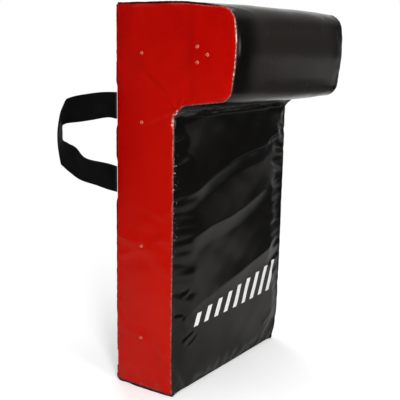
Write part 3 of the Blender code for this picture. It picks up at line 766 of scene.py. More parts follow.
def outline_runs():
    """The end outline from the foot's back round the front to the top and down the back."""
    low_back = from_back(0, FOOT_RISE + FOOT_SEAM_RISE)
    back_foot = from_back(0, FOOT_RISE)
    cut_start = from_back(SLAB_DEPTH, UNDERSIDE - INNER_CUT)
    cut_end = from_back(SLAB_DEPTH + INNER_CUT, UNDERSIDE)
    nose_low = from_back(BOLSTER_DEPTH - LOWER_TUCK, UNDERSIDE + UNDERSIDE_RISE)
    nose = from_back(BOLSTER_DEPTH, TOP_SEAM - NOSE_DROP)
    nose_high = from_back(BOLSTER_DEPTH - UPPER_TUCK, TOP_SEAM - TOP_FALL)
    top = from_back(TOP_FLAT, TOP_SEAM)
    back_top = from_back(0, TOP_SEAM)
    zip_top = from_back(0, ZIP_HEIGHT + ZIP_HALF)
    zip_low = from_back(0, ZIP_HEIGHT - ZIP_HALF)
    bolster = rounded([GROOVE, cut_end, nose_low, nose, nose_high, top, back_top],
                      [INNER_RADIUS, LOWER_NOSE_RADIUS, NOSE_RADIUS, UPPER_NOSE_RADIUS,
                       TOP_RADIUS])
    return [
        Run("base_panel", rounded([low_back, back_foot, FRONT_FOOT], [FOOT_RADIUS]), 0.0056, 12),
        Run("front_panel", rounded([FRONT_FOOT, cut_start, GROOVE], [INNER_RADIUS]), 0.010, 3),
        Run("bolster_panel", bolster, 0.006, 3),
        Run("back_panel", np.array([back_top, zip_top]), 0.006, 3),
        Run("zip", np.array([zip_top, zip_low]), 0.0, 3),
        Run("back_lower_panel", np.array([zip_low, low_back]), 0.002, 3),
    ]


RUNS = outline_runs()


# How finely the outline is divided to measure from it, and how many places at a time
EDGE_PITCH = 0.0006
EDGE_BATCH = 2000


class Edge:
    """The whole end outline, finely divided, to measure distances from."""

    def __init__(self):
        points, along, start = [], [], 0.0
        self.starts = {}
        for run in RUNS:
            self.starts[run.name] = start
            count = math.ceil(run.length / EDGE_PITCH)
            places = np.linspace(0, run.length, count, endpoint=False)
            points.append(run.at(places))
            along.append(start + places)
            start += run.length
        self.points = np.concatenate(points)
        self.along = np.concatenate(along)
        self.coarse = self.points[::3]
        following = np.roll(self.coarse, -1, axis=0)
        self.steps = np.linalg.norm(following - self.coarse, axis=1)
        self.tree = kdtree.KDTree(len(self.points))
        for index, point in enumerate(self.points):
            self.tree.insert((point[0], point[1], 0), index)
        self.tree.balance()

    def nearest(self, places):
        """Distance to the outline and the place along it."""
        found = [self.tree.find((y, z, 0)) for y, z in places]
        distance = np.array([item[2] for item in found])
        along = self.along[[item[1] for item in found]]
        return distance, along

    def soft(self, places):
        """A distance that is smoothed where two stretches of the outline are as near."""
        out = np.empty(len(places))
        for start in range(0, len(places), EDGE_BATCH):
            part = places[start:start + EDGE_BATCH]
            gaps = np.linalg.norm(part[:, None] - self.coarse[None], axis=2)
            gaps = np.maximum(gaps, 1e-5)
            total = (gaps ** -6 * self.steps).sum(axis=1) * 8 / (3 * math.pi)
            out[start:start + EDGE_BATCH] = total ** -0.2
        return out


EDGE = Edge()


# How deep into a side panel the low front corner's draw reaches
CORNER_DRAW = 0.032


def tuck(side, places, depth):
    """How far a side draws in near the cover's low front corner."""
    most = LEFT_CORNER_TUCK if side < 0 else RIGHT_CORNER_TUCK
    gap = np.linalg.norm(places - FRONT_FOOT, axis=-1)
    share = np.maximum(0, 1 - gap / CORNER_REACH) ** 2
    return most * share * np.maximum(0, 1 - depth / CORNER_DRAW) ** 2


# Round each vent: the rings of the cloth and how many sides they have, how far the grid
# keeps off, and how far out the simulation holds the cloth
HOLE_RINGS = (HOLE_RADIUS, 0.0042, 0.0062)
HOLE_SIDES = 16
HOLE_CLEAR = 0.0085
HOLE_HELD = 0.0045

# Round each eyelet: how far out the cloth lies level, over how long it eases into its crown
# and into its folds, and how deep it is pressed in
SEAT_RADIUS = 0.010
SEAT_FADE = 0.004
SEAT_DEPTH = 0.0004
SEAT_REACH = 0.007


def side_rise(places):
    """How far a side panel stands out: crowned, and level round each eyelet."""
    soft = np.minimum(EDGE.soft(places), SIDE_CROWN_REACH)
    rise = SIDE_CROWN * swell(1 - soft / SIDE_CROWN_REACH, 3)
    for centre in EYELETS:
        gap = np.linalg.norm(places - np.array(centre), axis=1)
        near = rise[gap < SEAT_RADIUS].mean()
        share = np.clip((SEAT_RADIUS - gap) / SEAT_FADE, 0, 1)
        rise = rise * (1 - share) + near * share
    return rise


# The cover as one closed skin

class Skin:
    """The cover's mesh while it is one piece: points, faces, and each face's panel."""

    def __init__(self):
        self.points, self.faces, self.panels, self.cloth = [], [], [], []
        self.held = []
        self.tube()
        self.caps()

    def tube(self):
        """The panels that run from side to side, ring by ring along the end outline."""
        columns = [(number, place, k == 0) for number, run in enumerate(RUNS)
                   for k, place in enumerate(marks(run.length)[:-1])]
        xs = marks(WIDTH) - HALF_WIDTH
        self.columns, self.xs = columns, xs
        count = len(columns)
        flat = np.array([RUNS[n].at(place) for n, place, _ in columns])
        out = np.array([RUNS[n].outward(place) for n, place, _ in columns])
        crown = np.array([RUNS[n].crown * swell(2 * place / RUNS[n].length - 1, RUNS[n].power)
                          for n, place, _ in columns])
        power = np.array([RUNS[n].power for n, _, _ in columns])
        rings = []
        for x in xs:
            share = x / HALF_WIDTH
            places = flat + out * (crown * swell(share, power))[:, None]
            pull = tuck(-1 if share < 0 else 1, flat, 0)
            ring = np.column_stack((share * (HALF_WIDTH - pull), places))
            ring[:, 2] = np.maximum(ring[:, 2], 0)
            rings.append(ring)
        self.points = list(np.concatenate(rings))
        for i in range(len(xs) - 1):
            for j in range(count):
                following = (j + 1) % count
                number, place, _ = columns[j]
                ahead = columns[following][1] if columns[following][0] == number \
                    else RUNS[number].length
                self.faces.append((i * count + j, (i + 1) * count + j,
                                   (i + 1) * count + following, i * count + following))
                self.panels.append(number)
                self.cloth.append(((xs[i], place), (xs[i + 1], place), (xs[i + 1], ahead),
                                   (xs[i], ahead)))
        for i in range(len(xs)):
            for j in range(count):
                number, _, seam = columns[j]
                ends = i in (0, len(xs) - 1)
                foot = self.points[i * count + j][2] < 0.0006
                zip_band = RUNS[number].name in ("zip", "back_lower_panel")
                if seam or ends or foot or zip_band:
                    self.held.append(i * count + j)

    def side_places(self):
        """A side panel's points: its rim, rows that follow the seam, a grid, and rings round
        each vent."""
        rim = np.array([RUNS[n].at(place) for n, place, _ in self.columns])
        before = rim - np.roll(rim, 1, axis=0)
        after = np.roll(rim, -1, axis=0) - rim
        before /= np.linalg.norm(before, axis=1, keepdims=True)
        after /= np.linalg.norm(after, axis=1, keepdims=True)
        inward = np.stack((before[:, 1] + after[:, 1], -before[:, 0] - after[:, 0]), axis=1)
        inward /= np.linalg.norm(inward, axis=1, keepdims=True)
        lean = inward[:, 0] * before[:, 1] - inward[:, 1] * before[:, 0]
        inner = []
        for depth in SEAM_MARKS:
            row = rim + inward * (depth / np.maximum(0.5, lean))[:, None]
            gap, _ = EDGE.nearest(row)
            row = row[gap > depth * 0.93]
            inner.append(self.thinned(row, depth * 0.35 + 0.0006))
        low, high = rim.min(axis=0), rim.max(axis=0)
        ys, zs = np.meshgrid(*[np.arange(low[k], high[k], STEP) for k in (0, 1)])
        grid = np.column_stack((ys.ravel(), zs.ravel()))
        grid = grid[self.inside(grid, rim)]
        gap, _ = EDGE.nearest(grid)
        inner.append(grid[gap > SEAM_MARKS[-1] + STEP * 0.6])
        inner = np.concatenate(inner)
        inner = inner[self.inside(inner, rim)]
        for centre in EYELETS:
            inner = inner[np.linalg.norm(inner - np.array(centre), axis=1) > HOLE_CLEAR]
        turns = [2 * math.pi * (k + 0.5) / HOLE_SIDES for k in range(HOLE_SIDES)]
        rings = [(y + radius * math.cos(turn), z + radius * math.sin(turn))
                 for y, z in EYELETS for radius in HOLE_RINGS for turn in turns]
        return np.concatenate((rim, inner, np.array(rings)))

    def side_faces(self, places):
        """The side panel's faces, as numbers of its points, with the vents left open."""
        loop = list(range(len(self.columns)))
        found = geometry.delaunay_2d_cdt([Vector(p) for p in places], [], [loop], 1, 1e-6)
        verts, faces, origins = found[0], found[2], found[3]
        kept = []
        for face in faces:
            middle = np.mean([tuple(verts[k]) for k in face], axis=0)
            holes = [np.linalg.norm(middle - np.array(c)) < HOLE_RADIUS for c in EYELETS]
            if not any(holes):
                kept.append(tuple(origins[k][0] for k in face))
        return self.squared(places, kept)

    def caps(self):
        """Both side panels: the same flat cut, with a hole at each vent."""
        count = len(self.columns)
        places = self.side_places()
        faces = self.side_faces(places)
        rise = side_rise(places)
        depth, _ = EDGE.nearest(places)
        for side, offset, number in ((-1, 0, len(RUNS)),
                                     (1, (len(self.xs) - 1) * count, len(RUNS) + 1)):
            start = len(self.points)
            x = side * (HALF_WIDTH + rise - tuck(side, places, depth))
            solid = np.column_stack((x, places))
            self.points += list(solid[count:])
            for face in faces:
                ids = [offset + k if k < count else start + k - count for k in face]
                cloth = [tuple(places[k]) for k in face]
                if side > 0:
                    ids.reverse()
                    cloth.reverse()
                self.faces.append(tuple(ids))
                self.panels.append(number)
                self.cloth.append(tuple(cloth))
            for k in range(count, len(places)):
                gaps = [np.linalg.norm(places[k] - np.array(c)) for c in EYELETS]
                if min(gaps) < HOLE_HELD:
                    self.held.append(start + k - count)

    @staticmethod
    def thinned(row, least):
        """The places of a row that lie more than `least` apart."""
        kept = [row[0]]
        for place in row[1:]:
            if np.linalg.norm(place - kept[-1]) > least:
                kept.append(place)
        return np.array(kept)

    @staticmethod
    def inside(places, rim):
        """Which places lie inside the outline."""
        result = np.zeros(len(places), bool)
        ahead = np.roll(rim, -1, axis=0)
        for a, b in zip(rim, ahead):
            if a[1] == b[1]:
                continue
            crosses = (a[1] > places[:, 1]) != (b[1] > places[:, 1])
            at = a[0] + (places[:, 1] - a[1]) / (b[1] - a[1]) * (b[0] - a[0])
            result ^= crosses & (places[:, 0] < at)
        return result

    @staticmethod
    def squared(places, triangles):
        """The triangles joined in pairs to squares where they can be."""
        bm = bmesh.new()
        verts = [bm.verts.new((p[0], p[1], 0)) for p in places]
        for face in triangles:
            bm.faces.new([verts[k] for k in face])
        bm.verts.index_update()
        bmesh.ops.join_triangles(bm, faces=bm.faces, cmp_seam=False, cmp_sharp=False,
                                 cmp_uvs=False, cmp_vcols=False, cmp_materials=False,
                                 angle_face_threshold=0.5, angle_shape_threshold=0.9)
        joined = [tuple(v.index for v in face.verts) for face in bm.faces]
        bm.free()
        return joined

    def built(self):
        """The skin as an object, with its cloth map and its panels as material places."""
        mesh = bpy.data.meshes.new("skin")
        mesh.from_pydata([tuple(p) for p in self.points], [], self.faces)
        layer = mesh.uv_layers.new(name="cloth")
        flat = np.array([pair for face in self.cloth for pair in face], np.float32)
        layer.data.foreach_set("uv", flat.ravel())
        for _ in range(len(RUNS) + 2):
            mesh.materials.append(None)
        mesh.polygons.foreach_set("material_index", self.panels)
        mesh.update()
        return link("skin", mesh)


def smoothed(field, edges, times):
    """A field on the points, evened out along the edges."""
    count = len(field)
    degree = np.bincount(edges.ravel(), minlength=count)[:, None]
    for _ in range(times):
        total = np.zeros_like(field)
        for k in range(field.shape[1]):
            total[:, k] += np.bincount(edges[:, 0], field[edges[:, 1], k], count)
            total[:, k] += np.bincount(edges[:, 1], field[edges[:, 0], k], count)
        field = (field + total) / (1 + degree)
    return field


# How much of the simulated wrinkles each panel keeps; all of them where none is given
WRINKLE_SHARES = {"bolster_panel": 0.28, "back_panel": 0.45}
SIDE_WRINKLES = 0.5

# The simulation: the cloth and its pressure, its frames, how far a point may move, how often
# the moves are evened out, and the share of what is left then that the cover loses
PUFF_CLOTH = {
    "quality": 5, "mass": 0.3, "tension_stiffness": 15, "compression_stiffness": 12,
    "shear_stiffness": 8, "bending_stiffness": 0.12, "use_pressure": True,
    "uniform_pressure_force": 4, "shrink_min": -0.02,
}
PUFF_FRAMES = 20
PUFF_LIMIT = 0.006
PUFF_EVENING = 60
PUFF_SWELL_LOST = 0.9

# Where a hand loop comes to rest: how far from its middle's height and how far from its seam
# it reaches, over how long each fades out, and how much of the cover's folds it flattens
REST_HEIGHT = 0.135
REST_HEIGHT_FADE = 0.02
REST_WIDTH = 0.085
REST_WIDTH_FADE = 0.03
LOOP_CLEAR = 0.92

# Where a loop's end leaves the seam: half its height there, over how long that fades out,
# and how far from the seam the gathers are flattened
ROOT_HEIGHT = 0.030
ROOT_FADE = 0.014
ROOT_WIDTH = 0.05

# How deep the hollow above a fold is, as a share of its height
FOLD_HOLLOW = 0.6


def swept(inward, level):
    """1 where a hand loop comes to rest, `inward` from its seam; 0 away from there."""
    share = np.clip((REST_HEIGHT - np.abs(level)) / REST_HEIGHT_FADE, 0, 1)
    return share * np.clip((REST_WIDTH - inward) / REST_WIDTH_FADE, 0, 1)


def kept_clear(heights, inward, level):
    """Lower what stands out where a hand loop comes to rest."""
    return np.where(heights > 0, heights * (1 - LOOP_CLEAR * swept(inward, level)), heights)


def simulated(skin, held):
    """How far the simulated cloth moves each point of the skin."""
    group = skin.vertex_groups.new(name="held")
    group.add(held, 1.0, "REPLACE")
    start = column(skin.data.vertices, "co", 3)
    cloth = skin.modifiers.new("puff", "CLOTH")
    for word, value in PUFF_CLOTH.items():
        setattr(cloth.settings, word, value)
    cloth.settings.vertex_group_mass = "held"
    cloth.settings.effector_weights.gravity = 0
    cloth.collision_settings.use_collision = False
    cloth.collision_settings.use_self_collision = False
    cloth.point_cache.frame_start = 1
    cloth.point_cache.frame_end = PUFF_FRAMES
    for number in range(1, PUFF_FRAMES + 1):
        bpy.context.scene.frame_set(number)
    puffed = evaluated(skin)
    moved = column(puffed.vertices, "co", 3) - start
    skin.modifiers.clear()
    bpy.context.scene.frame_set(1)
    bpy.data.meshes.remove(puffed)
    return moved


def puff(skin, held):
    """Let the cloth puff between its seams, and keep what that adds in wrinkles."""
    mesh = skin.data
    start = column(mesh.vertices, "co", 3)
    moved = simulated(skin, held)
    reach = np.linalg.norm(moved, axis=1, keepdims=True)
    moved *= np.minimum(1, PUFF_LIMIT / np.maximum(reach, 1e-9))
    edges = np.array([tuple(edge.vertices) for edge in mesh.edges])
    wrinkles = moved - smoothed(moved, edges, PUFF_EVENING) * PUFF_SWELL_LOST
    wrinkles = smoothed(wrinkles, edges, 1)
    wrinkles[held] = 0
    share = np.ones(len(start))
    for face in mesh.polygons:
        number = face.material_index
        kept = SIDE_WRINKLES
        if number < len(RUNS):
            kept = WRINKLE_SHARES.get(RUNS[number].name, 1)
        share[list(face.vertices)] = kept
    inward = np.maximum(HALF_WIDTH - np.abs(start[:, 0]), BACK - start[:, 1])
    share *= 1 - LOOP_CLEAR * swept(inward, start[:, 2] - LOOP_HEIGHT)
    wrinkles *= share[:, None]
    mesh.vertices.foreach_set("co", (start + wrinkles).ravel())
    mesh.update()


# Folds and puckers

def wobble(t, scale, seed):
    """Smooth noise along a line, from about -1 to 1."""
    rng = np.random.default_rng(seed)
    total = np.zeros_like(t)
    for factor in (1, 1.7, 2.9):
        total += np.sin(2 * math.pi * (t / scale * factor + rng.random())) / factor
    return total / 1.6


def roll(places, scale, seed, waves=10):
    """Smooth noise over a panel, from about -1 to 1."""
    rng = np.random.default_rng(seed)
    total = np.zeros(len(places))
    for _ in range(waves):
        turn = rng.random() * 2 * math.pi
        length = scale * (0.6 + 0.8 * rng.random())
        phase = rng.random() * 2 * math.pi
        total += np.sin((places[:, 0] * math.cos(turn) + places[:, 1] * math.sin(turn))
                        * 2 * math.pi / length + phase)
    return total / math.sqrt(waves)


def pucker(distance, along, height, seed, pitch=0.0125):
    """Short gathers at right angles to a seam."""
    phase = along / pitch + 0.35 * wobble(along, 0.07, seed)
    bump = np.abs(np.sin(math.pi * phase)) ** 0.8 - 0.55
    share = np.clip(0.55 + 0.6 * wobble(along, 0.11, seed + 1), 0.08, 1.3)
    reach = 0.0065 + 0.0035 * wobble(along, 0.05, seed + 2)
    envelope = (1 - np.exp(-distance / 0.0015)) * np.exp(-distance / reach)
    return height * share * bump * envelope


def fold(places, line, height, width, below=None):
    """A fold along a line, with a hollow above it. Where a reach below it is given, it is a
    crisp ridge that falls off on both sides instead. A negative height is a crease."""
    line = np.array(line)
    steps = np.linalg.norm(np.diff(line, axis=0), axis=1)
    total = steps.sum()
    best = np.full(len(places), 1e9)
    signed = np.zeros(len(places))
    share = np.zeros(len(places))
    start = 0.0
    for a, b, step in zip(line, line[1:], steps):
        ahead = (b - a) / step
        local = places - a
        t = np.clip(local @ ahead, 0, step)
        gap = local - t[:, None] * ahead
        distance = np.linalg.norm(gap, axis=1)
        side = ahead[0] * local[:, 1] - ahead[1] * local[:, 0]
        nearer = distance < best
        best = np.where(nearer, distance, best)
        signed = np.where(nearer, np.copysign(distance, side), signed)
        share = np.where(nearer, (start + t) / total, share)
        start += step
    ends = np.minimum(share, 1 - share)
    taper = np.clip(ends / 0.22, 0, 1)
    taper = (taper * taper * (3 - 2 * taper)) ** 0.7
    body = np.exp(-(signed / width) ** 2)
    if below is not None:
        slow = np.clip(1 + signed / below, 0, 1) ** 1.6
        fast = np.clip(1 - signed / width, 0, 1) ** 2
        return height * taper * np.where(signed < 0, slow, fast)
    hollow = np.exp(-((signed - 1.7 * width) / (1.1 * width)) ** 2)
    return height * taper * (body - FOLD_HOLLOW * hollow)


def star(places, centre, height, count, reach, seed):
    """Gathers that fan out from a corner."""
    gap = places - np.array(centre)
    radius = np.linalg.norm(gap, axis=1)
    turn = np.arctan2(gap[:, 1], gap[:, 0])
    wave = np.cos(count * turn + seed) + 0.5 * np.cos((count * 2 - 3) * turn + 2 * seed)
    return height * wave * np.exp(-radius / reach) * (1 - np.exp(-radius / 0.004))


# Folds of the strike face, in millimetres from its left seam and above the floor,
# each with its height, its width or reach above, and its reach below the ridge
FRONT_FOLDS = (
    (((9, 369), (39, 382), (79, 401), (116, 415), (167, 431), (221, 442), (288, 449),
      (325, 461), (355, 471), (369, 480)), 6.4, 80, 34),
    (((307, 454), (333, 462), (363, 467)), -1.2, 4, None),
    (((22, 292), (55, 302), (103, 316), (172, 324), (221, 335), (284, 355), (331, 375),
      (358, 389)), 5.6, 66, 34),
    (((96, 172), (148, 186), (209, 197), (274, 212), (325, 224), (356, 240), (372, 256)),
     4.4, 62, 30),
    (((17, 136), (46, 158), (84, 171), (128, 179)), 2.2, 34, 18),
    (((21, 93), (30, 104), (48, 110), (66, 114)), 1.5, 4, None),
    (((37, 89), (56, 95), (76, 106)), 1.3, 3.6, None),
    (((6, 156), (28, 154)), 1.2, 3.4, None),
    (((22, 195), (35, 196), (44, 201), (50, 207)), 1.2, 3.6, None),
    (((318, 51), (337, 61), (364, 77)), 1.5, 14, 9),
)


def front_relief(places, panel):
    """The strike face: long folds that sag across it, and shorter ones near its edges."""
    total = roll(places, 0.16, 11) * 0.0006 + roll(places, 0.07, 12) * 0.00022
    for line, height, width, below in FRONT_FOLDS:
        line = [(x / 1000 - HALF_WIDTH, z / 1000 - FOOT_RISE) for x, z in line]
        below = below and below / 1000
        total += fold(places, line, height / 1000, width / 1000, below)
    for x, z, seed in ((-HALF_WIDTH, 0, 1), (HALF_WIDTH, 0, 2),
                       (-HALF_WIDTH, panel.length, 3), (HALF_WIDTH, panel.length, 4)):
        total += star(places, (x, z), 0.0009, 11, 0.016, seed)
    return total


# The bolster's nose: how far it stands out more, where along the panel, and over how long
NOSE_FULL = 0.006
NOSE_PLACE = 0.185
NOSE_REACH = 0.055

# The bolster's folds: the one across its underside, and where along the panel the short ones
# run in from both side seams, each with its height in millimetres
BOLSTER_FOLD = ((-0.185, 0.030), (-0.150, 0.043), (-0.105, 0.055), (-0.060, 0.060))
BOLSTER_SIDE_FOLDS = ((0.262, 0.4), (0.330, 0.4), (0.420, 0.5))


def bolster_relief(places, panel):
    """The bolster: nearly tight, with shallow folds that run in from its side seams."""
    total = roll(places, 0.16, 21) * 0.0003 + roll(places, 0.07, 22) * 0.00008
    full = NOSE_FULL * np.exp(-((places[:, 1] - NOSE_PLACE) / NOSE_REACH) ** 2)
    total += full * swell(places[:, 0] / HALF_WIDTH, 4)
    total += fold(places, BOLSTER_FOLD, 0.0016, 0.006)
    for place, height in BOLSTER_SIDE_FOLDS:
        slope = 0.006 * math.sin(place * 90)
        near = ((-0.192, place), (-0.168, place + slope), (-0.135, place + 2.2 * slope))
        far = place + 0.012
        far = ((0.192, far), (0.160, far - slope), (0.120, far - 2 * slope))
        total += fold(places, near, height / 1000, 0.0045)
        total += fold(places, far, height / 1000, 0.0050)
    for x in (-HALF_WIDTH, HALF_WIDTH):
        total += star(places, (x, 0), 0.0009, 11, 0.014, 5 + x)
        total += star(places, (x, panel.length), 0.0009, 9, 0.016, 8 + x)
    return total


# Folds of the back, in metres across it and down from its top seam, each with its height and
# width in millimetres
BACK_FOLDS = (
    (((-0.175, 0.180), (-0.110, 0.205), (-0.030, 0.214), (0.060, 0.208), (0.150, 0.186)),
     2.4, 7),
    (((-0.180, 0.330), (-0.100, 0.352), (0.000, 0.360), (0.120, 0.345)), 2.2, 7),
    (((0.180, 0.300), (0.140, 0.315), (0.090, 0.322)), 1.4, 5),
    (((-0.185, 0.250), (-0.150, 0.262), (-0.110, 0.265)), 1.3, 5),
    (((-0.150, 0.480), (-0.060, 0.500), (0.040, 0.503), (0.130, 0.492), (0.178, 0.470)),
     2.2, 7),
    (((-0.120, 0.600), (-0.020, 0.610), (0.090, 0.604)), 1.2, 6),
    (((-0.060, 0.080), (0.020, 0.088), (0.110, 0.082)), 1.2, 7),
)


def back_relief(places, panel):
    """The back: loose folds that sag between the hand loops and down to the zip."""
    total = roll(places, 0.18, 31) * 0.0008 + roll(places, 0.07, 32) * 0.0003
    for line, height, width in BACK_FOLDS:
        total += fold(places, line, height / 1000, 8 * width / 1000, 4 * width / 1000)
    loop = TOP_SEAM - LOOP_HEIGHT
    for x in (-HALF_WIDTH, HALF_WIDTH):
        for v in (0, panel.length):
            total += star(places, (x, v), 0.0010, 9, 0.018, 3 + x + v)
        for end in (-1, 1):
            total += star(places, (x, loop + end * LOOP_HALF_SPREAD), 0.0009, 7, 0.016, 4)
    return kept_clear(total, HALF_WIDTH - np.abs(places[:, 0]),
                      places[:, 1] - TOP_SEAM + LOOP_HEIGHT)


# Folds of a side panel, as y and height in metres, each with its height, its width or reach
# above, and its reach below the ridge
SIDE_FOLDS = (
    (((GROOVE[0] + 0.003, GROOVE[1] - 0.004), (-0.045, 0.524), (-0.015, 0.511),
      (0.016, 0.500)), 0.0018, 0.009, 0.014),
    (((GROOVE[0] + 0.006, GROOVE[1] + 0.016), (-0.030, 0.580), (0.004, 0.604)),
     0.0009, 0.006, None),
    (((-0.060, 0.330), (-0.030, 0.338), (0.015, 0.352)), 0.0007, 0.008, None),
    (((-0.058, 0.060), (-0.030, 0.085), (-0.010, 0.120)), 0.0009, 0.007, None),
    (((0.055, 0.045), (0.030, 0.070), (0.015, 0.110)), 0.0007, 0.007, None),
)

# Corners of a side panel, each with its count of gathers
SIDE_CORNERS = (
    (FRONT_FOOT, 9), (from_back(0, FOOT_RISE), 8), (from_back(0, TOP_SEAM), 9),
    (from_back(BOLSTER_DEPTH - 0.012, UNDERSIDE + 0.016), 9),
    (from_back(BOLSTER_DEPTH - 0.012, TOP_SEAM - 0.016), 9),
)


def side_relief(places, seed):
    """A side panel: nearly flat, drawn at the inner corner and round its eyelets."""
    total = roll(places, 0.15, seed) * 0.0006 + roll(places, 0.05, seed + 1) * 0.00020
    total += star(places, GROOVE, 0.0022, 7, 0.017, seed)
    for line, height, width, below in SIDE_FOLDS:
        total += fold(places, line, height, width, below)
    for corner, count in SIDE_CORNERS:
        total += star(places, corner, 0.0008, count, 0.015, seed + count)
    for centre in EYELETS:
        gap = np.linalg.norm(places - np.array(centre), axis=1)
        around = np.clip((gap - HOLE_RINGS[1]) / SEAT_FADE, 0, 1)
        total = total * around - SEAT_DEPTH * np.exp(-(gap / SEAT_REACH) ** 2) * around
    return kept_clear(total, BACK - places[:, 0], places[:, 1] - LOOP_HEIGHT)


def under_loop(level):
    """1 at the heights where a hand loop leaves the corner's seam, 0 away from them."""
    near = np.zeros(len(level))
    for end in (-1, 1):
        gap = np.abs(level - end * LOOP_HALF_SPREAD)
        near = np.maximum(near, 1 - np.clip((gap - ROOT_HEIGHT) / ROOT_FADE, 0, 1))
    return near


# How high the gathers are along each panel's seams, and how strong on the strike face's
# left, right, lower and upper seams
GATHERS = 0.0011
BASE_GATHERS = 0.0003
FRONT_GATHERS = (0.75, 0.35, 1, 1)

# How far the cover rolls out next to its side seams, how close to the seam that starts and
# how far it reaches, the strike face's left share of it, and where on the bolster's left seam
# it starts and over how long
SEAM_ROLL = 0.0048
ROLL_START = 0.0008
ROLL_REACH = 0.008
FRONT_ROLL = 0.25
BOLSTER_ROLL_FROM = 0.26
BOLSTER_ROLL_FADE = 0.05

# How far from its seams a panel's folds reach their full height
SEAM_FLAT = 0.009


def seam_facts(name, places, number):
    """For each point: distance from the nearest seam, place along it, and its gathers."""
    if number >= len(RUNS):
        distance, along = EDGE.nearest(places)
        gathers = pucker(distance, along, GATHERS, 100 + number)
        by_seam = np.clip(1 - (BACK - places[:, 0]) / ROOT_WIDTH, 0, 1)
        gathers *= 1 - by_seam * under_loop(places[:, 1] - LOOP_HEIGHT)
        return distance, along, gathers
    run = RUNS[number]
    start = EDGE.starts[run.name]
    x, v = places[:, 0], places[:, 1]
    gaps = np.stack((x + HALF_WIDTH, HALF_WIDTH - x, v, run.length - v))
    alongs = np.stack((start + v, start + v, x + 1.0, x + 2.0))
    gathers = np.zeros(len(places))
    height = BASE_GATHERS if name == "base_panel" else GATHERS
    strengths = FRONT_GATHERS if name == "front_panel" else (1, 1, 1, 1)
    seeds = (106, 107, 120 + number, 130 + number)
    for gap, along, strength, seed in zip(gaps, alongs, strengths, seeds):
        gathers += pucker(gap, along, height * strength, seed)
    bolster_roll = np.clip((v - BOLSTER_ROLL_FROM) / BOLSTER_ROLL_FADE, 0, 1)
    left_roll = {"front_panel": FRONT_ROLL, "bolster_panel": bolster_roll}.get(name, 1)
    for gap, rolled in zip(gaps[:2], (left_roll, 1)):
        rolled = rolled * SEAM_ROLL * (1 - np.exp(-gap / ROLL_START))
        gathers += rolled * np.exp(-gap / ROLL_REACH)
    if name == "back_panel":
        by_seam = np.clip(1 - gaps[:2].min(axis=0) / ROOT_WIDTH, 0, 1)
        gathers *= 1 - by_seam * under_loop(v - TOP_SEAM + LOOP_HEIGHT)
    best = gaps.argmin(axis=0)
    rows = np.arange(len(places))
    return gaps[best, rows], alongs[best, rows], gathers


RELIEFS = {"front_panel": front_relief, "bolster_panel": bolster_relief,
           "back_panel": back_relief}


def settle(distance):
    """0 at a seam, 1 well inside: the seams stay where they are."""
    share = np.clip(distance / SEAM_FLAT, 0, 1)
    return share * share * (3 - 2 * share)


def refined(skin):
    """The skin's mesh divided once more, with its seams kept sharp."""
    mesh = skin.data
    crease = mesh.attributes.new("crease_edge", "FLOAT", "EDGE")
    sides = {}
    for face in mesh.polygons:
        for key in face.edge_keys:
            sides.setdefault(key, set()).add(face.material_index)
    crease.data.foreach_set("value", [1.0 if len(sides[tuple(sorted(edge.vertices))]) > 1
                                      else 0.0 for edge in mesh.edges])
    finer = skin.modifiers.new("finer", "SUBSURF")
    finer.levels = 1
    finer.render_levels = 1
    return evaluated(skin)


def panel_mesh(name, number, solid, places, faces):
    """One panel as a cloth, with its folds pressed in and its seam facts at each point."""
    panel = bpy.data.meshes.new("cover_" + name)
    panel.from_pydata([tuple(p) for p in solid], [], [tuple(f) for f in faces])
    panel.update()
    normals = column(panel.vertex_normals, "vector", 3)
    distance, along, relief = seam_facts(name, places, number)
    if number >= len(RUNS):
        relief = relief + side_relief(places, 50 + 10 * number) * settle(distance)
    elif name in RELIEFS:
        relief = relief + RELIEFS[name](places, RUNS[number]) * settle(distance)
    solid = solid + normals * relief[:, None]
    solid[:, 2] = np.maximum(solid[:, 2], 0)
    panel.vertices.foreach_set("co", solid.ravel())
    layer = panel.uv_layers.new(name="cloth")
    layer.data.foreach_set("uv", places[faces.ravel()].ravel())
    for word, values in (("seam", distance), ("along", along)):
        attribute = panel.attributes.new(word, "FLOAT", "POINT")
        attribute.data.foreach_set("value", values)
    panel.update()
    return panel


def part_skin(skin, finishes):
    """Part the fine skin at its seams and give each panel its folds and its wall."""
    fine = refined(skin)
    points = column(fine.vertices, "co", 3)
    loops = column(fine.loops, "vertex_index", 1, np.int64)
    uv = column(fine.uv_layers["cloth"].data, "uv", 2)
    starts = column(fine.polygons, "loop_start", 1, np.int64)
    panels = column(fine.polygons, "material_index", 1, np.int64)
    names = [run.name for run in RUNS] + ["side_panel_left", "side_panel_right"]
    made = {}
    for number, name in enumerate(names):
        if name == "zip":
            continue
        corners = starts[panels == number][:, None] + np.arange(4)
        used, faces = np.unique(loops[corners], return_inverse=True)
        faces = faces.reshape(-1, 4)
        places = np.zeros((len(used), 2))
        places[faces.ravel()] = uv[corners.ravel()]
        slot = "red_cover" if number >= len(RUNS) else "black_cover"
        finish = {"front_panel": "front_cover", "bolster_panel": "bolster_cover"}.get(name, slot)
        item = link("cover_" + name, panel_mesh(name, number, points[used], places, faces))
        walled(item, PANEL_WALL)
        made[name] = baked(item, [finishes[finish]])
        fit(item, slot, "shield", name)
    bpy.data.objects.remove(skin, do_unlink=True)
    return made


# The foam

# How far the foam stays inside the cover, and how sharp an edge has to be to show as one,
# in degrees: on foam and webbing, and on tape, teeth and metal
FOAM_INSET = 0.0050
SOFT_ANGLE = 50
HARD_ANGLE = 40


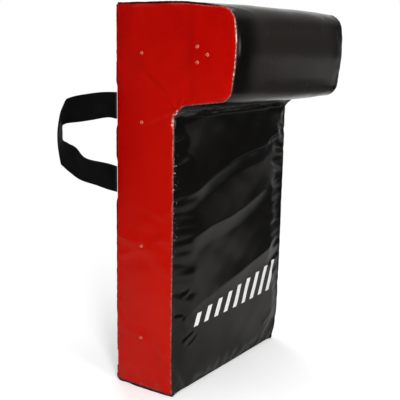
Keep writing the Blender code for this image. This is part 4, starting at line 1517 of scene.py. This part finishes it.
def tube(bm, rings):
    """Join rings of points to a closed tube. Gives its long faces and its two ends."""
    sides = []
    for first, second in zip(rings, rings[1:]):
        for k in range(len(first)):
            n = (k + 1) % len(first)
            sides.append(bm.faces.new((first[k], first[n], second[n], second[k])))
    ends = [bm.faces.new(ring) for ring in (rings[0], rings[-1])]
    bmesh.ops.recalc_face_normals(bm, faces=bm.faces)
    return sides, ends


def foam_block(name, node, corners, radii, crown, finish):
    """A foam block: its outline runs across the shield and swells a little at the middle."""
    loop = []
    count = len(corners)
    for i in range(count):
        loop += fillet(corners[i - 1], corners[i], corners[(i + 1) % count], radii[i])[::3]
    loop = np.array(loop)
    middle = loop.mean(axis=0)
    half = HALF_WIDTH - FOAM_INSET
    bm = bmesh.new()
    rings = []
    for share in np.linspace(-1, 1, 41):
        away = (loop - middle) / np.linalg.norm(loop - middle, axis=1)[:, None]
        swollen = loop + away * crown * swell(share, 3)
        ring = middle + (swollen - middle) * (1 - 0.02 * abs(share) ** 12)
        rings.append([bm.verts.new((share * half, y, z)) for y, z in ring])
    tube(bm, rings)
    mesh = meshed(name, bm)
    coat(mesh, [finish], SOFT_ANGLE)
    item = link(name, mesh)
    fit(item, "foam", "shield", node)


def make_foam(finish):
    """The slab, and the bolster glued to its top front."""
    front = SLAB_DEPTH - FOAM_INSET
    top = TOP_SEAM - FOAM_INSET
    foam_block("foam_slab", "slab_core",
               [from_back(FOAM_INSET, 0.012), from_back(front, 0.010),
                from_back(front, top), from_back(FOAM_INSET, top)],
               [0.006, 0.006, 0.006, 0.006], 0.002, finish)
    foam_block("foam_bolster", "bolster_core",
               [from_back(front + 0.001, UNDERSIDE + 0.012),
                from_back(BOLSTER_DEPTH - LOWER_TUCK - FOAM_INSET,
                          UNDERSIDE + UNDERSIDE_RISE + FOAM_INSET),
                from_back(BOLSTER_DEPTH - FOAM_INSET, TOP_SEAM - NOSE_DROP),
                from_back(BOLSTER_DEPTH - UPPER_TUCK - FOAM_INSET, top - TOP_FALL),
                from_back(front + 0.001, top)],
               [0.004, 0.018, 0.150, 0.022, 0.004], 0.001, finish)


# The hand loops

def smooth_path(stations, steps):
    """A smooth curve through the stations, with so many steps between each two."""
    stations = [np.array(s) for s in stations]
    run = [stations[0] * 2 - stations[1], *stations, stations[-1] * 2 - stations[-2]]
    out = []
    for i in range(1, len(run) - 2):
        a, b, c, d = run[i - 1:i + 3]
        for k in range(steps):
            t = k / steps
            even = 2 * a - 5 * b + 4 * c - d
            odd = 3 * b - a - 3 * c + d
            out.append((2 * b + (c - a) * t + even * t * t + odd * t ** 3) / 2)
    out.append(stations[-1])
    return out


def loop_frames(side):
    """Stations along a hand loop: its place, the way across its width, and off its face."""
    outward = np.array((-1, 1, 0)) / math.sqrt(2)
    across = np.array((1, 1, 0)) / math.sqrt(2)
    up = np.array((0, 0, 1))
    places, widths = [], []
    for out_d, out_h, in_d, in_h, twist in smooth_path(LOOP_EDGES, 12):
        outer = outward * out_d + up * out_h - across * twist
        inner = outward * in_d + up * in_h + across * twist
        places.append((outer + inner) / 2000)
        widths.append((outer - inner) / np.linalg.norm(outer - inner))
    origin = np.array((side * (HALF_WIDTH + LOOP_SETBACK), BACK + LOOP_SETBACK, LOOP_HEIGHT))
    mirror = np.array((-side, 1, 1))
    frames = []
    for i, (place, wide) in enumerate(zip(places, widths)):
        ahead = places[min(i + 1, len(places) - 1)] - places[max(i - 1, 0)]
        face = np.cross(ahead, wide)
        face /= np.linalg.norm(face)
        frames.append((origin + place * mirror, wide * mirror, face * mirror))
    return frames


# How uneven the webbing is, and how many radians a metre each waves: it cups, drifts across
# and ripples. Near its ends it is drawn flat over a length
LOOP_CUP = (0.0010, 31)
LOOP_DRIFT = (0.0006, 47)
LOOP_RIPPLE = (0.0005, 90)
LOOP_EASE = 0.05


def webbing_section():
    """The webbing's section, with round edges: places across its width and off its middle."""
    half = WEBBING_WIDTH / 2
    wall = WEBBING_THICKNESS / 2
    section = []
    for side in (1, -1):
        for k in range(5):
            turn = math.radians(-90 * side + 180 * k / 4)
            section.append((side * (half - wall) + wall * math.cos(turn), wall * math.sin(turn)))
        for share in (0.72, 0.36, 0.0, -0.36, -0.72):
            section.append((side * share * half, side * wall))
    return section


def make_loop(side, word, finishes):
    """A loop of flat webbing with rounded edges, a little uneven along its length."""
    half = WEBBING_WIDTH / 2
    section = webbing_section()
    frames = loop_frames(side)
    steps = [np.linalg.norm(b[0] - a[0]) for a, b in zip(frames, frames[1:])]
    lengths = [0.0, *np.cumsum(steps)]
    bm = bmesh.new()
    layer = bm.loops.layers.uv.new("strap")
    rings, flat = [], {}
    for (place, wide, face), length in zip(frames, lengths):
        ease = min(1, min(length, lengths[-1] - length) / LOOP_EASE)
        cup = LOOP_CUP[0] * math.sin(length * LOOP_CUP[1] + side) * ease
        drift = LOOP_DRIFT[0] * math.sin(length * LOOP_DRIFT[1] + 2 * side) * ease
        ring = []
        for a, b in section:
            ripple = LOOP_RIPPLE[0] * math.sin(length * LOOP_RIPPLE[1] + a * 60) * ease
            bend = cup * (1 - (a / half) ** 2) + ripple
            ring.append(bm.verts.new(place + wide * (a + drift) + face * (b + bend)))
            flat[ring[-1]] = (length, a + half)
        rings.append(ring)
    sides, ends = tube(bm, rings)
    for made in sides:
        for corner in made.loops:
            corner[layer].uv = flat[corner.vert]
    for made, ring in zip(ends, (rings[0], rings[-1])):
        spots = dict(zip(ring, section))
        for corner in made.loops:
            a, b = spots[corner.vert]
            corner[layer].uv = (b, a + half)
    mesh = meshed("loop_" + word, bm)
    coat(mesh, [finishes["webbing"]], SOFT_ANGLE)
    fit(link("loop_" + word, mesh), "webbing", word + "_loop", "handle_" + word)


# What repeats

# The stitches: their pitch, length and half thickness
LOOP_STITCH = {"Pitch": 0.0036, "Length": 0.0033, "Thread": 0.00035}
TAPE_STITCH = {"Pitch": 0.0034, "Length": 0.0030, "Thread": 0.00030}

# An eyelet: its rolled rim, and the barrel that goes through the cloth
EYELET = {
    "Rim Radius": 0.0023, "Rim Width": 0.0016, "Rim Height": 0.0010,
    "Bore Radius": 0.0018, "Wall": 0.00045, "Depth": 0.0024,
}

# The zip's teeth: how many, the size of one and of their cord, and how far both lie from the
# zip's middle line
TEETH_COUNT = 65
TOOTH = (0.0027, 0.0025, 0.0020)
TOOTH_OFF = 0.0016
CORD = (2 * TEETH_HALF_LENGTH, 0.0021, 0.0016)
CORD_OFF = 0.00265

# The zip's tape: its flat width, and how far from the zip's middle line lie its outer edge,
# its inner edge beside the teeth and past their ends, and its two rows of stitches
TAPE_FAR = ZIP_HALF - 0.0001
TAPE_NEAR = 0.0037
TAPE_NEAR_PAST_TEETH = 0.00015
TAPE_ROWS = (0.0112, 0.0138)

# The tape's half length, where its teeth have ended, its columns and strips, its thickness,
# and the height and length of its waves
TAPE_END = HALF_WIDTH - 0.00025
TAPE_PAST_TEETH = TEETH_HALF_LENGTH + 0.0036
TAPE_COLUMNS = 157
TAPE_STRIPS = 8
TAPE_WALL = PANEL_WALL * 0.9
TAPE_WAVE = (0.00022, 210)

# How wide the edges of the zip's metal are eased
STOP_EASE = 0.0004
SLIDER_EASE = 0.00025
PULL_EASE = 0.00030


class Growth(Nodes):
    """A Geometry Nodes tree with named inputs."""

    def __init__(self, name, inputs):
        super().__init__(bpy.data.node_groups.new(name, "GeometryNodeTree"))
        sockets = [("Geometry", "OUTPUT", "Geometry"), ("Geometry", "INPUT", "Geometry")]
        sockets += [(word, "INPUT", kind) for word, kind in inputs.items()]
        for word, way, kind in sockets:
            self.tree.interface.new_socket(name=word, in_out=way,
                                           socket_type="NodeSocket" + kind)
        self.entry = self.node("NodeGroupInput")

    def given(self, name):
        """One of the tree's inputs."""
        return Number(self, self.entry.outputs[name])

    def vector(self, x, y, z):
        return self.node("ShaderNodeCombineXYZ", None, {0: x, 1: y, 2: z})

    def circle(self, sides, radius):
        return self.node("GeometryNodeCurvePrimitiveCircle", None,
                         {"Resolution": sides, "Radius": radius})

    def transformed(self, part, way, amount):
        """A part moved by a Translation or stretched by a Scale."""
        return self.node("GeometryNodeTransform", None, {"Geometry": part, way: amount})

    def piped(self, path, profile):
        return self.node("GeometryNodeCurveToMesh", None,
                         {"Curve": path, "Profile Curve": profile})

    def eased(self, part, level, crease):
        return self.node("GeometryNodeSubdivisionSurface", None,
                         {"Mesh": part, "Level": level, "Edge Crease": crease})

    def joined(self, *parts):
        whole = self.node("GeometryNodeJoinGeometry")
        for part in parts:
            self.put(whole.inputs[0], part)
        return whole

    def finished(self, part):
        """Realise the instances, give them their material and close the tree."""
        real = self.node("GeometryNodeRealizeInstances", None, {0: part})
        smooth = self.node("GeometryNodeSetShadeSmooth", None, {"Geometry": real})
        coated = self.node("GeometryNodeSetMaterial", None,
                           {"Geometry": smooth, "Material": self.given("Material")})
        self.node("NodeGroupOutput", None, {0: coated})
        return self.tree


def stitch_tree():
    """Stitches along a line: each is a short round thread, thinner at its ends."""
    g = Growth("stitches", {
        "Pitch": "Float", "Length": "Float", "Thread": "Float", "Material": "Material"})
    line = g.node("GeometryNodeMeshToCurve", None, {0: g.given("Geometry")})
    spots = g.node("GeometryNodeResampleCurve", {"mode": "LENGTH"},
                   {"Curve": line, "Length": g.given("Pitch")})
    turned = g.node("FunctionNodeAlignRotationToVector", {"axis": "Z"},
                    {"Vector": g.node("GeometryNodeInputTangent")})
    body = g.node("GeometryNodeMeshUVSphere", None,
                  {"Segments": 8, "Rings": 6, "Radius": 1.0})
    size = g.vector(g.given("Thread"), g.given("Thread"), g.given("Length") * 0.5)
    return g.finished(g.node("GeometryNodeInstanceOnPoints", None, {
        "Points": spots, "Instance": body, "Rotation": turned, "Scale": size}))


def eyelet_tree():
    """Rolled eyelets with their barrels, one at each point."""
    g = Growth("eyelets", {
        "Rim Radius": "Float", "Rim Width": "Float", "Rim Height": "Float",
        "Bore Radius": "Float", "Wall": "Float", "Depth": "Float",
        "Turn": "Rotation", "Material": "Material"})
    size = g.vector(g.given("Rim Width") * 0.5, g.given("Rim Height") * 0.5, 1.0)
    bead = g.transformed(g.circle(12, 1.0), "Scale", size)
    rolled = g.piped(g.circle(40, g.given("Rim Radius")), bead)
    bore = g.circle(40, g.given("Bore Radius") + g.given("Wall") * 0.5)
    wall = g.node("GeometryNodeCurvePrimitiveQuadrilateral", None,
                  {"Width": g.given("Wall"), "Height": g.given("Depth")})
    sunk = g.vector(0.0, g.given("Depth") * -0.5, 0.0)
    barrel = g.piped(bore, g.transformed(wall, "Translation", sunk))
    return g.finished(g.node("GeometryNodeInstanceOnPoints", None, {
        "Points": g.given("Geometry"), "Instance": g.joined(rolled, barrel),
        "Rotation": g.given("Turn")}))


def teeth_tree():
    """A row of moulded teeth along its cord."""
    g = Growth("teeth_row", {
        "Pitch": "Float", "Count": "Int", "Tooth": "Vector", "Tooth Place": "Vector",
        "Cord": "Vector", "Cord Place": "Vector", "Material": "Material"})
    row = g.node("GeometryNodeMeshLine", None, {
        "Count": g.given("Count"), "Start Location": g.given("Tooth Place"),
        "Offset": g.vector(g.given("Pitch"), 0.0, 0.0)})
    block = g.node("GeometryNodeMeshCube", None, {"Size": g.given("Tooth")})
    teeth = g.node("GeometryNodeInstanceOnPoints", None,
                   {"Points": row, "Instance": g.eased(block, 2, 0.72)})
    bar = g.node("GeometryNodeMeshCube", None, {"Size": g.given("Cord"), "Vertices X": 60})
    cord = g.transformed(g.eased(bar, 1, 0.5), "Translation", g.given("Cord Place"))
    return g.finished(g.joined(teeth, cord))


def grown(name, tree, points, edges, values, angle=None):
    """An object whose mesh a tree makes from points and edges."""
    mesh = bpy.data.meshes.new(name)
    mesh.from_pydata([tuple(p) for p in points], edges, [])
    item = link(name, mesh)
    modifier = item.modifiers.new("grown", "NODES")
    modifier.node_group = tree
    for socket in tree.interface.items_tree:
        if socket.in_out == "INPUT" and socket.name in values:
            modifier[socket.identifier] = values[socket.name]
    return baked(item, None, angle)


def make_eyelets(side, word, panel, tree, metal):
    """The eyelets of one side, seated on the cloth. The washers behind them get their metal."""
    seats = []
    for y, z in EYELETS:
        start = Vector((side * 0.3, y + EYELET["Rim Radius"] + 0.0013, z))
        hit, place, _, _ = panel.ray_cast(start, Vector((-side, 0, 0)))
        x = place.x if hit else side * (HALF_WIDTH + SIDE_CROWN)
        seats.append((x + side * 0.0001, y, z))
    turn = (0, math.radians(90 * side), 0)
    item = grown(f"eyelets_{word}", tree, seats, [], {**EYELET, "Turn": turn,
                                                      "Material": metal})
    numbers = range(1, len(EYELETS) + 1)
    fit(item, "eyelet_metal", "shield", *[f"eyelet_{word}_{k}" for k in numbers])
    for k in numbers:
        washer = frame["nodes"][f"eyelet_washer_{word}_{k}"]
        washer.data.materials.clear()
        washer.data.materials.append(metal)


def make_tape(side, word, finishes, stitches):
    """A woven zip tape, a little wavy, with two rows of stitches along its outer edge."""
    end = TAPE_END
    face_y = TAPE_MIDDLE + PANEL_WALL / 2
    bm = bmesh.new()
    layer = bm.loops.layers.uv.new("strap")
    grid = []
    for x in np.linspace(-end, end, TAPE_COLUMNS):
        inner = TAPE_NEAR_PAST_TEETH if abs(x) > TAPE_PAST_TEETH else TAPE_NEAR
        across = []
        for k in range(TAPE_STRIPS + 1):
            z = inner + (TAPE_FAR - inner) * k / TAPE_STRIPS
            wave = TAPE_WAVE[0] * math.sin(x * TAPE_WAVE[1] + side)
            wave = wave * math.sin(math.pi * k / TAPE_STRIPS)
            vert = bm.verts.new((x, face_y + wave, ZIP_HEIGHT + side * z))
            across.append((vert, (x, z)))
        grid.append(across)
    for first, second in zip(grid, grid[1:]):
        for k in range(TAPE_STRIPS):
            spots = (first[k], second[k], second[k + 1], first[k + 1])
            face = bm.faces.new([vert for vert, _ in spots])
            for corner, (_, uv) in zip(face.loops, spots):
                corner[layer].uv = uv
    if side > 0:
        bmesh.ops.reverse_faces(bm, faces=bm.faces)
    item = link("tape_" + word, meshed("tape_" + word, bm))
    walled(item, TAPE_WALL)
    item = baked(item, [finishes["tape"]], HARD_ANGLE)
    fit(item, "tape", "shield", "zip_tape_" + word)
    for number, z in enumerate(TAPE_ROWS):
        points = [(x, face_y + 0.0002, ZIP_HEIGHT + side * z) for x in (-end, end)]
        row = grown(f"tape_{word}_stitches_{number + 1}", stitches, points, [(0, 1)],
                    {**TAPE_STITCH, "Material": finishes["thread"]})
        fit(row, "tape", "shield")


def make_teeth(side, word, finishes, tree):
    """One side's teeth, half a tooth's pitch from the other side's."""
    first = -(TEETH_COUNT - 1) / 2 * TOOTH_PITCH + side * TOOTH_PITCH / 4
    item = grown("teeth_" + word, tree, [(0, 0, 0)], [], {
        "Pitch": TOOTH_PITCH, "Count": TEETH_COUNT, "Tooth": TOOTH,
        "Tooth Place": (first, TAPE_MIDDLE, ZIP_HEIGHT + side * TOOTH_OFF),
        "Cord": CORD, "Cord Place": (0, TAPE_MIDDLE, ZIP_HEIGHT + side * CORD_OFF),
        "Material": finishes["teeth"]}, HARD_ANGLE)
    fit(item, "teeth", "shield", "zip_teeth_" + word)


def softened(node, name, body, width, finishes):
    """A copy of a metal node with its edges eased, standing for it."""
    bm = bmesh.new()
    bm.from_mesh(frame["nodes"][node].data)
    bmesh.ops.remove_doubles(bm, verts=bm.verts, dist=1e-5)
    bmesh.ops.dissolve_limit(bm, angle_limit=math.radians(1), verts=bm.verts, edges=bm.edges)
    item = link(name, meshed(name, bm))
    bevel = item.modifiers.new("eased", "BEVEL")
    bevel.width = width
    bevel.segments = 3
    bevel.limit_method = "ANGLE"
    bevel.angle_limit = math.radians(30)
    item = baked(item, [finishes["zip_metal"]], HARD_ANGLE)
    fit(item, "zip_metal", body, node)


def make_loop_stitches(side, word, finishes, stitches):
    """Rows of stitches across a loop's two ends, on both faces."""
    frames = loop_frames(side)
    half = WEBBING_WIDTH / 2 - 0.003
    points, edges = [], []
    for index in (1, len(frames) - 2):
        place, wide, face = frames[index]
        for sign in (-1, 1):
            off = face * (sign * (WEBBING_THICKNESS / 2 + 0.0001))
            edges.append((len(points), len(points) + 1))
            points += [place - wide * half + off, place + wide * half + off]
    item = grown(f"loop_{word}_stitches", stitches, points, edges,
                 {**LOOP_STITCH, "Material": finishes["thread"]})
    fit(item, "webbing", word + "_loop")


def make_cover(finishes):
    """The cover's panels, each parted from the one puffed skin."""
    shape = Skin()
    skin = shape.built()
    puff(skin, shape.held)
    panels = part_skin(skin, finishes)
    return panels


def main():
    set_camera()
    finishes = make_finishes()
    set_surroundings()
    add_floor()
    for name, facts in LAMPS.items():
        add_lamp(name, *facts)
    make_foam(finishes["foam"])
    panels = make_cover(finishes)
    stitches = stitch_tree()
    rolled = eyelet_tree()
    rows = teeth_tree()
    for side, word in ((-1, "left"), (1, "right")):
        make_eyelets(side, word, panels["side_panel_" + word], rolled, finishes["eyelet_metal"])
        make_loop(side, word, finishes)
        make_loop_stitches(side, word, finishes, stitches)
        softened(f"zip_stop_{word}", f"stop_{word}", "shield", STOP_EASE, finishes)
    for side, word in ((1, "upper"), (-1, "lower")):
        make_tape(side, word, finishes, stitches)
        make_teeth(side, word, finishes, rows)
    softened("zip_slider", "slider_body", "slider", SLIDER_EASE, finishes)
    softened("zip_pull", "pull_tab", "pull", PULL_EASE, finishes)


main()
bpy.context.scene.view_settings.view_transform = "Standard"
